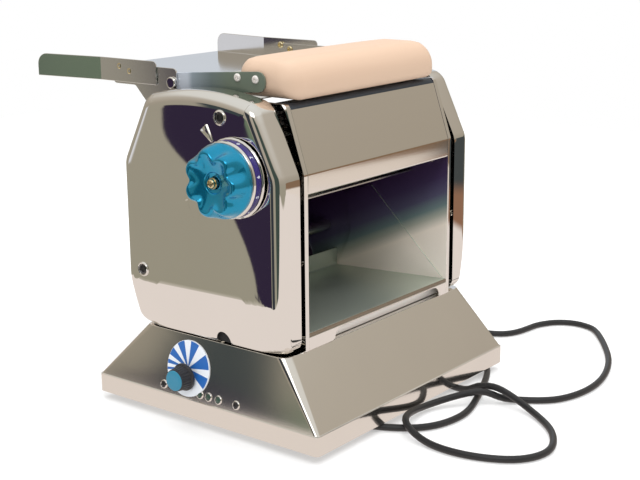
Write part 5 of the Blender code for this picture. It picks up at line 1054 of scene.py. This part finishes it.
def makeSlopeFittings():
    bezel, inner = slopeFittings["bezel"], slopeFittings["inner"]
    bezelProfile = [(-0.0005, inner), (-0.0005, bezel), (0.0004, bezel), (0.001, bezel - 0.0005),
                    (0.0011, bezel - 0.0009), (0.0004, inner)]
    dome = [(-0.0005, 0.0028), (0.0003, 0.0028), (0.0008, 0.0023), (0.0011, 0.0014), (0.0012, 0.0002)]
    head = [(-0.0005, 0.0028), (0.0006, 0.0028), (0.0008, 0.0026), (0.0009, 0.0016), (0.0003, 0.0014),
            (0.0003, 0.0001)]
    for kind, profile, finish, slot in (("lamp", dome, "lamp_glass", "black_plastic"),
                                        ("slopeScrew", head, "dark_screw", "gear_steel")):
        for count, (y, z) in enumerate(slopeFittings[kind], 1):
            spot, normal = slopePoint(y, z)
            finishPiece(ringPiece(spot, normal, bezelProfile, 32), kind + "Bezel" + str(count),
                        "polished_steel", "machine", 40)
            finishPiece(turnedPiece(spot, normal, profile, 24), kind + "Middle" + str(count),
                        finish, "machine", 40)


# Wooden bar of the guard: a long nose in front, rounder ends
guardBar = {
    "nose": 0.024,
    "back": 0.015,
    "under": 0.006,
    "crown": 0.0012,
    "endRound": 0.018,
    "steps": 9,
    "stretches": 12,
}


def makeGuardBar():
    low, high = boxOf("guard_bar")
    endRound, steps, stretches = guardBar["endRound"], guardBar["steps"], guardBar["stretches"]
    corners = [(Vector((low.x + endRound, y, z)), guardBar[size]) for y, z, size in (
        (low.y, low.z, "under"), (low.y, high.z, "nose"), (high.y, high.z, "back"), (high.y, low.z, "under"))]
    piece = addOutline([corner for corner, radius in corners])
    for corner, radius in corners:
        roundCorner(piece, corner, radius)
    chooseAll()
    long = high.x - low.x - 2 * endRound
    for stretch in range(stretches):
        extrudeBy((long / stretches, 0, 0))
    middle = Vector((0, (low.y + high.y) / 2, low.z + (high.z - low.z) * 0.42))
    half = Vector((0, (high.y - low.y) / 2, (high.z - low.z) / 2))

    def growEnd(way):
        before = (1.0, 1.0)
        for step in range(1, steps + 1):
            turn = math.pi / 2 * step / steps
            drawn = endRound * (1 - math.cos(turn)) * 0.97
            size = (1 - drawn / half.y, 1 - drawn / half.z * 0.86)
            on = endRound * (math.sin(turn) - math.sin(math.pi / 2 * (step - 1) / steps))
            extrudeBy((way * on, 0, 0))
            bpy.ops.transform.resize(value=(1, size[0] / before[0], size[1] / before[1]),
                                     center_override=middle)
            before = size
        bpy.ops.mesh.poke()

    growEnd(1)
    chooseFaces(piece, lambda f: abs(f.calc_center_median().x - low.x - endRound) < 1e-6 and len(f.verts) > 8)
    growEnd(-1)

    def crown(place):
        if place.z > high.z - 0.002:
            share = (place.x - low.x) / (high.x - low.x) * 2 - 1
            place.z -= guardBar["crown"] * share**4
        return place

    movePoints(piece, crown)
    endEdit()
    facesOutward(piece)
    finishPiece(piece, "guardBar", "beech", "guard", 50)
    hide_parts("guard_bar")


# Screws on the guard's arms, in front of the pivots, and on the tray's brackets
smallScrews = {
    "armScrew": ((-0.02, 0.311), (-0.0405, 0.3106)),
    "trayScrew": ((0.124, 0.312), (0.111, 0.308)),
    "radius": 0.0036,
    "tall": 0.0018,
    "apart": 0.05,
}


def makeSmallScrews():
    radius, tall = smallScrews["radius"], smallScrews["tall"]
    profile = [(-0.0002, radius), (tall * 0.3, radius), (tall * 0.75, radius * 0.86), (tall, radius * 0.6),
               (tall, radius * 0.42), (tall * 0.3, radius * 0.38), (tall * 0.3, radius * 0.05)]
    rows = (("armScrew", "guard", "guard_arm_", "satin_bright", ("Out",)),
            ("trayScrew", "machine", "tray_bracket_", "screw_brass", ("Out", "In")))
    for title, body, carrier, finish, faces in rows:
        for side, sign in bothSides:
            low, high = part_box(carrier + side)
            for count, (y, z) in enumerate(smallScrews[title], 1):
                for face in faces:
                    way = -sign if face == "Out" else sign
                    start = fromMiddle(0, y, z)
                    start.x = (low[0] + high[0]) / 2 - way * smallScrews["apart"]
                    spot, normal = surfaceAt(nodes[carrier + side], start, (way, 0, 0))
                    finishPiece(turnedPiece(spot, normal, profile, 24),
                                title + side.capitalize() + face + str(count), finish, body,
                                40)


# Bright plate a little behind the slot under the outlet
slotPlate = {
    "back": 0.0065,
    "thick": 0.001,
    "top": 0.0905,
    "fold": 0.006,
    "side": 0.004,
    "foot": 0.0002,
    "lip": 0.0012,
}


def makeSlotPlate():
    low, high = boxOf("front_apron")
    top, side = slotPlate["top"], slotPlate["side"]
    front = high.y + slotPlate["back"]
    back = front + slotPlate["thick"]
    piece = addBox((low.x + side, front, low.z + slotPlate["foot"]), (high.x - side, back, top))
    startEdit(piece)
    chooseFaces(piece, lambda f: f.normal.y > 0.9)
    extrudeBy((0, slotPlate["fold"], 0))
    choose("VERT", piece, lambda p: p.co.y > back + 0.001 and p.co.z > top - 1e-5)
    bpy.ops.transform.translate(value=(0, 0, low.z + slotPlate["lip"] - top))
    endEdit()
    facesOutward(piece)
    addModifier(piece, "BEVEL", width=0.0003, segments=2)
    finishPiece(piece, "slotPlate", "satin_bright", "machine", 35)


makeSlotPlate()
makeSpeedDial()
makeSpeedKnob()
makeSlopeFittings()
print("speed dial, its knob and the lamps made")
makeGuardBar()
makeSmallScrews()
print("guard bar and small screws made")


# Pressed and folded sheet pieces keep the CAD's shape and get the soft edges of their folds;
# each row: finish, slot, width and steps of the soft edges, and the smooth angle where it isn't 30
softened = {
    "base_housing": ("base_steel", "satin_steel", 0.0012, 3),
    "upper_front_panel": ("panel_steel", "satin_steel", 0.0005, 3),
    # the chute's finish is a painted reflection, a green-grey tint in place of the reflected room
    "outlet_chute": ("chute_steel", "polished_steel", 0.0003, 2),
    "front_apron": ("polished_steel", "polished_steel", 0.0004, 2),
    "frame_plate_left": ("polished_steel", "polished_steel", 0.0005, 3),
    "frame_plate_right": ("polished_steel", "polished_steel", 0.0005, 3),
    "feed_tray": ("tray_steel", "polished_steel", 0.0004, 2, 5),
    "tray_bracket_left": ("tray_steel", "polished_steel", 0.0004, 2),
    "tray_bracket_right": ("tray_steel", "polished_steel", 0.0004, 2),
    "guard_arm_left": ("arm_steel", "polished_steel", 0.0005, 2),
    "guard_arm_right": ("arm_steel", "polished_steel", 0.0005, 2),
    "pivot_bolt_left": ("polished_steel", "polished_steel", 0.0004, 2),
    "pivot_bolt_right": ("screw_brass", "polished_steel", 0.0004, 2),
    "trim_ring": ("polished_steel", "polished_steel", 0.0004, 3),
    "rear_panel": ("panel_steel", "satin_steel", 0.0005, 2),
}
sheets = {}
for label, settings in softened.items():
    first, *rest = label.split("_")
    sheets[label] = softenNode(label, first + "".join(word.capitalize() for word in rest), *settings)

# second finishes, each on the faces of a sheet that look one way
for label, finish, test in (
        # painted reflection and shade on the chute's right cheek
        ("outlet_chute", "cheek_painted_reflection_and_shade",
         lambda f: f.normal.x < -0.9 and f.calc_center_median().x > machineShift.x),
        # painted reflection and shade on the inner face of the right frame plate
        ("frame_plate_right", "cheek_painted_reflection_and_shade", lambda f: f.normal.x < -0.9),
        # painted shade on the rear panel's faces towards the inside
        ("rear_panel", "inside_painted_shade", lambda f: f.normal.y < -0.3),
        # painted reflection on the chute's front-facing lip
        ("outlet_chute", "lip_painted_reflection", lambda f: f.normal.y < -0.5 and f.calc_center_median().y < -0.13),
        # painted shade on the top fold of the upper front panel, under the wooden bar
        ("upper_front_panel", "fold_painted_shade", lambda f: f.normal.z > 0.45)):
    dressSide(sheets[label], finish, test)
print("folded sheets softened")


# Floor, light and surroundings. The polished sides show the room, so the room is painted
# by direction: bearing from the back towards the right, and height above level, in degrees
studio = {
    "floorReach": 1.6,
    "floorColour": (0.6, 0.6, 0.6),
    "nearFloor": ((-0.415, -1.1), (0.68, 0.45)),    # what the polished sides show as white floor
    "leftSlant": 0.25,
    "floorShade": (0.8, 0.72, 0.67),
    "floorGlow": 0.38,
    "roomLight": 1.06,
    "softLight": 0.85,
    "windowLight": 2.2,
}


def byte(red, green, blue):
    # screen colour, 0 to 255, as light
    parts = []
    for value in (red, green, blue):
        share = value / 255
        parts.append(share / 12.92 if share < 0.04045 else ((share + 0.055) / 1.055) ** 2.4)
    return (*parts, 1)


# the room's colour at each height
roomBands = (
    (-90, (226, 216, 206)), (-24, (222, 212, 202)), (-19, (152, 147, 131)), (-6, (155, 149, 134)),
    (3, (158, 150, 136)), (12, (166, 157, 143)), (28, (180, 172, 160)), (40, (214, 212, 206)),
    (90, (222, 222, 220)),
)

# each patch: bearings from and to, heights from and to, softness, colour
roomPatches = {
    "slateCard": (-53, -47.2, -9, 3.5, 0.7, (58, 66, 68)),
    "darkCard": (-64, -44.4, -24, -4.2, 0.12, (47, 38, 58)),
    "greenWall": (-75, -53.6, -11, -3.4, 1.2, (104, 118, 98)),
    "brownFloor": (100, 122.7, -17, -10.4, 0.35, (140, 104, 82)),
    "creamFloor": (122.7, 150, -30, -10.4, 0.2, (224, 212, 202)),
    "frontSlate": (100, 122.7, -11.9, 3, 0.4, (66, 70, 70)),
    "bendLine": (122.7, 150, -10.9, 2, 0.2, (130, 104, 82)),
    "rearLight": (-38, -27, -9, -2, 0.8, (214, 214, 218)),
    "coolWindow": (20, 70, 2, 26, 4, (204, 209, 216)),
    "darkBar": (-92, -68, -60, 30, 1.5, (50, 54, 60)),
    "greenBar": (-150, -112, -60, 26, 1.5, (62, 74, 68)),
    "leftWindow": (-135, -100, 30, 52, 1.5, (255, 255, 255)),
}
# the dark card's edge leans with height
cardLean = {"by": 9, "from": -6.5, "to": -17}


def mathNode(tree, operation, *values):
    node = addNode(tree, "ShaderNodeMath", operation=operation)
    for socket, value in zip(node.inputs, values):
        if isinstance(value, (int, float)):
            socket.default_value = value
        else:
            tree.links.new(value, socket)
    return node.outputs[0]


def rampNode(tree, value, low, high, start=0, end=1):
    node = addNode(tree, "ShaderNodeMapRange", interpolation_type="SMOOTHSTEP")
    setInputs(node, {"From Min": low, "From Max": high, "To Min": start, "To Max": end})
    tree.links.new(value, node.inputs["Value"])
    return node.outputs["Result"]


def edgesMask(tree, *edges):
    # one where every value lies on the inner side of its edge; each edge: value, place, softness, rising
    mask = None
    for value, place, soft, rises in edges:
        part = rampNode(tree, value, place - soft, place + soft, *((0, 1) if rises else (1, 0)))
        mask = mathNode(tree, "MULTIPLY", mask, part) if mask else part
    return mask


def fillRamp(tree, share, stops):
    # a colour that follows a share, from (share, screen colour) pairs
    ramp = tree.nodes.new("ShaderNodeValToRGB")
    tree.links.new(share, ramp.inputs["Fac"])
    points = ramp.color_ramp.elements
    for level, (spot, colour) in enumerate(stops):
        point = points[level] if level < 2 else points.new(spot)
        point.position = spot
        point.color = byte(*colour)
    return ramp.outputs["Color"]


def gradeFinish(name, grade):
    # painted reflection and shade: colour that changes along one line of the piece, standing in for what the
    # sheet reflects and for the shade of the dim inside
    tree = finishes[name].node_tree
    place = tree.nodes.new("ShaderNodeTexCoord")
    along = addNode(tree, "ShaderNodeVectorMath", operation="DOT_PRODUCT")
    along.inputs[1].default_value = grade["along"]
    low, high = grade["reach"]
    share = addNode(tree, "ShaderNodeMapRange")
    setInputs(share, {"From Min": low, "From Max": high})
    wire(tree, (place, "Object", along, 0), (along, "Value", share, "Value"))
    stops = [((value - low) / (high - low), colour) for value, colour in grade["stops"]]
    colour = fillRamp(tree, share.outputs["Result"], stops)
    tree.links.new(colour, tree.nodes["Principled BSDF"].inputs["Base Color"])


paintedReflectionGrades = {
    # the cheeks: a painted cream reflection of the floor at the bottom, fading upwards to painted dark shade
    # of the inside
    "cheek_painted_reflection_and_shade": {"along": (0, 0.455, 1), "reach": (0.0555, 0.1705), "stops": (
        (0.0555, (255, 246, 234)), (0.0925, (250, 238, 224)), (0.1035, (176, 178, 166)),
        (0.1125, (112, 132, 132)), (0.1255, (84, 82, 108)), (0.1425, (64, 50, 84)), (0.1705, (46, 22, 58)))},
    # the guard's arms: a painted green reflection at the front end, fading to a painted pale bluish
    # reflection further back
    "arm_steel": {"along": (0, 1, 0), "reach": (-0.1, 0.021), "stops": (
        (-0.1, (112, 124, 110)), (-0.055, (114, 126, 112)), (-0.035, (114, 127, 126)),
        (-0.012, (150, 162, 172)), (-0.006, (200, 208, 220)), (0.021, (204, 210, 222)))},
}
for name, grade in paintedReflectionGrades.items():
    gradeFinish(name, grade)


def paintRoom(tree):
    place = tree.nodes.new("ShaderNodeTexCoord")
    split = tree.nodes.new("ShaderNodeSeparateXYZ")
    wire(tree, (place, "Generated", split, 0))
    x, y, z = split.outputs
    bearing = mathNode(tree, "MULTIPLY", mathNode(tree, "ARCTAN2", x, y), 180 / math.pi)
    height = mathNode(tree, "MULTIPLY", mathNode(tree, "ARCSINE", z), 180 / math.pi)
    colour = fillRamp(tree, mathNode(tree, "MULTIPLY_ADD", height, 1 / 180, 0.5),
                      [((angle + 90) / 180, shade) for angle, shade in roomBands])
    bent = rampNode(tree, mathNode(tree, "MULTIPLY", height, -1), -cardLean["from"], -cardLean["to"])
    leaned = mathNode(tree, "ADD", bearing, mathNode(tree, "MULTIPLY", bent, cardLean["by"]))
    for name, (start, end, low, high, soft, shade) in roomPatches.items():
        mask = edgesMask(tree, (bearing, start, soft, True),
                         (leaned if name == "darkCard" else bearing, end, soft, False),
                         (height, low, soft, True), (height, high, soft, False))
        mix = addNode(tree, "ShaderNodeMix", data_type="RGBA")
        light = studio["windowLight"] if name == "leftWindow" else 1
        mix.inputs["B"].default_value = [part * light for part in byte(*shade)[:3]] + [1]
        tree.links.new(mask, mix.inputs["Factor"])
        tree.links.new(colour, mix.inputs["A"])
        colour = mix.outputs["Result"]
    return colour


def makeWorld():
    world = bpy.data.worlds.new("studio")
    bpy.context.scene.world = world
    world.use_nodes = True
    world.cycles.sampling_method = "NONE"
    tree = world.node_tree
    room = tree.nodes["Background"]
    tree.links.new(paintRoom(tree), room.inputs["Color"])
    room.inputs["Strength"].default_value = studio["roomLight"]
    white, soft = [addNode(tree, "ShaderNodeBackground", Color=(1, 1, 1, 1), Strength=light)
                   for light in (1, studio["softLight"])]
    path = tree.nodes.new("ShaderNodeLightPath")
    spread, mix = [tree.nodes.new("ShaderNodeMixShader") for node in range(2)]
    wire(tree, (path, "Is Diffuse Ray", spread, 0), (room, 0, spread, 1), (soft, 0, spread, 2),
         (path, "Is Camera Ray", mix, 0), (spread, 0, mix, 1), (white, 0, mix, 2),
         (mix, 0, tree.nodes["World Output"], "Surface"))


def makeFloor():
    deselectAll()
    bpy.ops.mesh.primitive_plane_add(size=2 * studio["floorReach"], location=(0, 0, 0))
    floor = bpy.context.object
    floor.name = "floor"
    material = bpy.data.materials.new("floorFinish")
    material.use_nodes = True
    tree = material.node_tree
    shader = tree.nodes["Principled BSDF"]
    setInputs(shader, {"Base Color": (*studio["floorColour"], 1), "Roughness": 0.85,
                       "Specular IOR Level": 0.1, "Emission Color": (1, 1, 1, 1),
                       "Emission Strength": studio["floorGlow"]})
    place = tree.nodes.new("ShaderNodeTexCoord")
    split = tree.nodes.new("ShaderNodeSeparateXYZ")
    wire(tree, (place, "Object", split, 0))
    x, y, z = split.outputs
    (left, front), (right, back) = studio["nearFloor"]
    slanted = mathNode(tree, "MULTIPLY_ADD", y, -studio["leftSlant"], x)
    near = edgesMask(tree, (slanted, left, 0.005, True), (x, right, 0.03, False),
                     (y, front, 0.03, True), (y, back, 0.01, False))
    glow = addNode(tree, "ShaderNodeEmission", Color=(*studio["floorShade"], 1), Strength=1)
    clear = tree.nodes.new("ShaderNodeBsdfTransparent")
    path = tree.nodes.new("ShaderNodeLightPath")
    seen, mix = [tree.nodes.new("ShaderNodeMixShader") for node in range(2)]
    tree.links.new(near, seen.inputs[0])
    wire(tree, (clear, 0, seen, 1), (glow, 0, seen, 2), (path, "Is Glossy Ray", mix, 0),
         (shader, 0, mix, 1), (seen, 0, mix, 2), (mix, 0, tree.nodes["Material Output"], "Surface"))
    floor.data.materials.append(material)


def addLamp(name, place, target, size, power):
    # lights the machine without showing in its polished sides
    deselectAll()
    bpy.ops.object.light_add(type="AREA", location=place)
    lamp = bpy.context.object
    lamp.name = name
    lamp.data.shape = "RECTANGLE"
    lamp.data.size, lamp.data.size_y = size
    lamp.data.energy = power
    lamp.visible_glossy = False
    aim = Vector(target) - Vector(place)
    lamp.rotation_euler = aim.to_track_quat("-Z", "Y").to_euler()


makeFloor()
makeWorld()
addLamp("keyLight", (-1.5, -1.3, 2.3), (0, 0, 0.15), (0.9, 0.9), 20)
addLamp("topLight", (0.2, 0.2, 2.4), (0, 0, 0.1), (2.2, 2.2), 45)
addLamp("sideLight", (1.6, -1.4, 1.6), (0, 0, 0.15), (0.6, 0.6), 10)
print("studio lit")
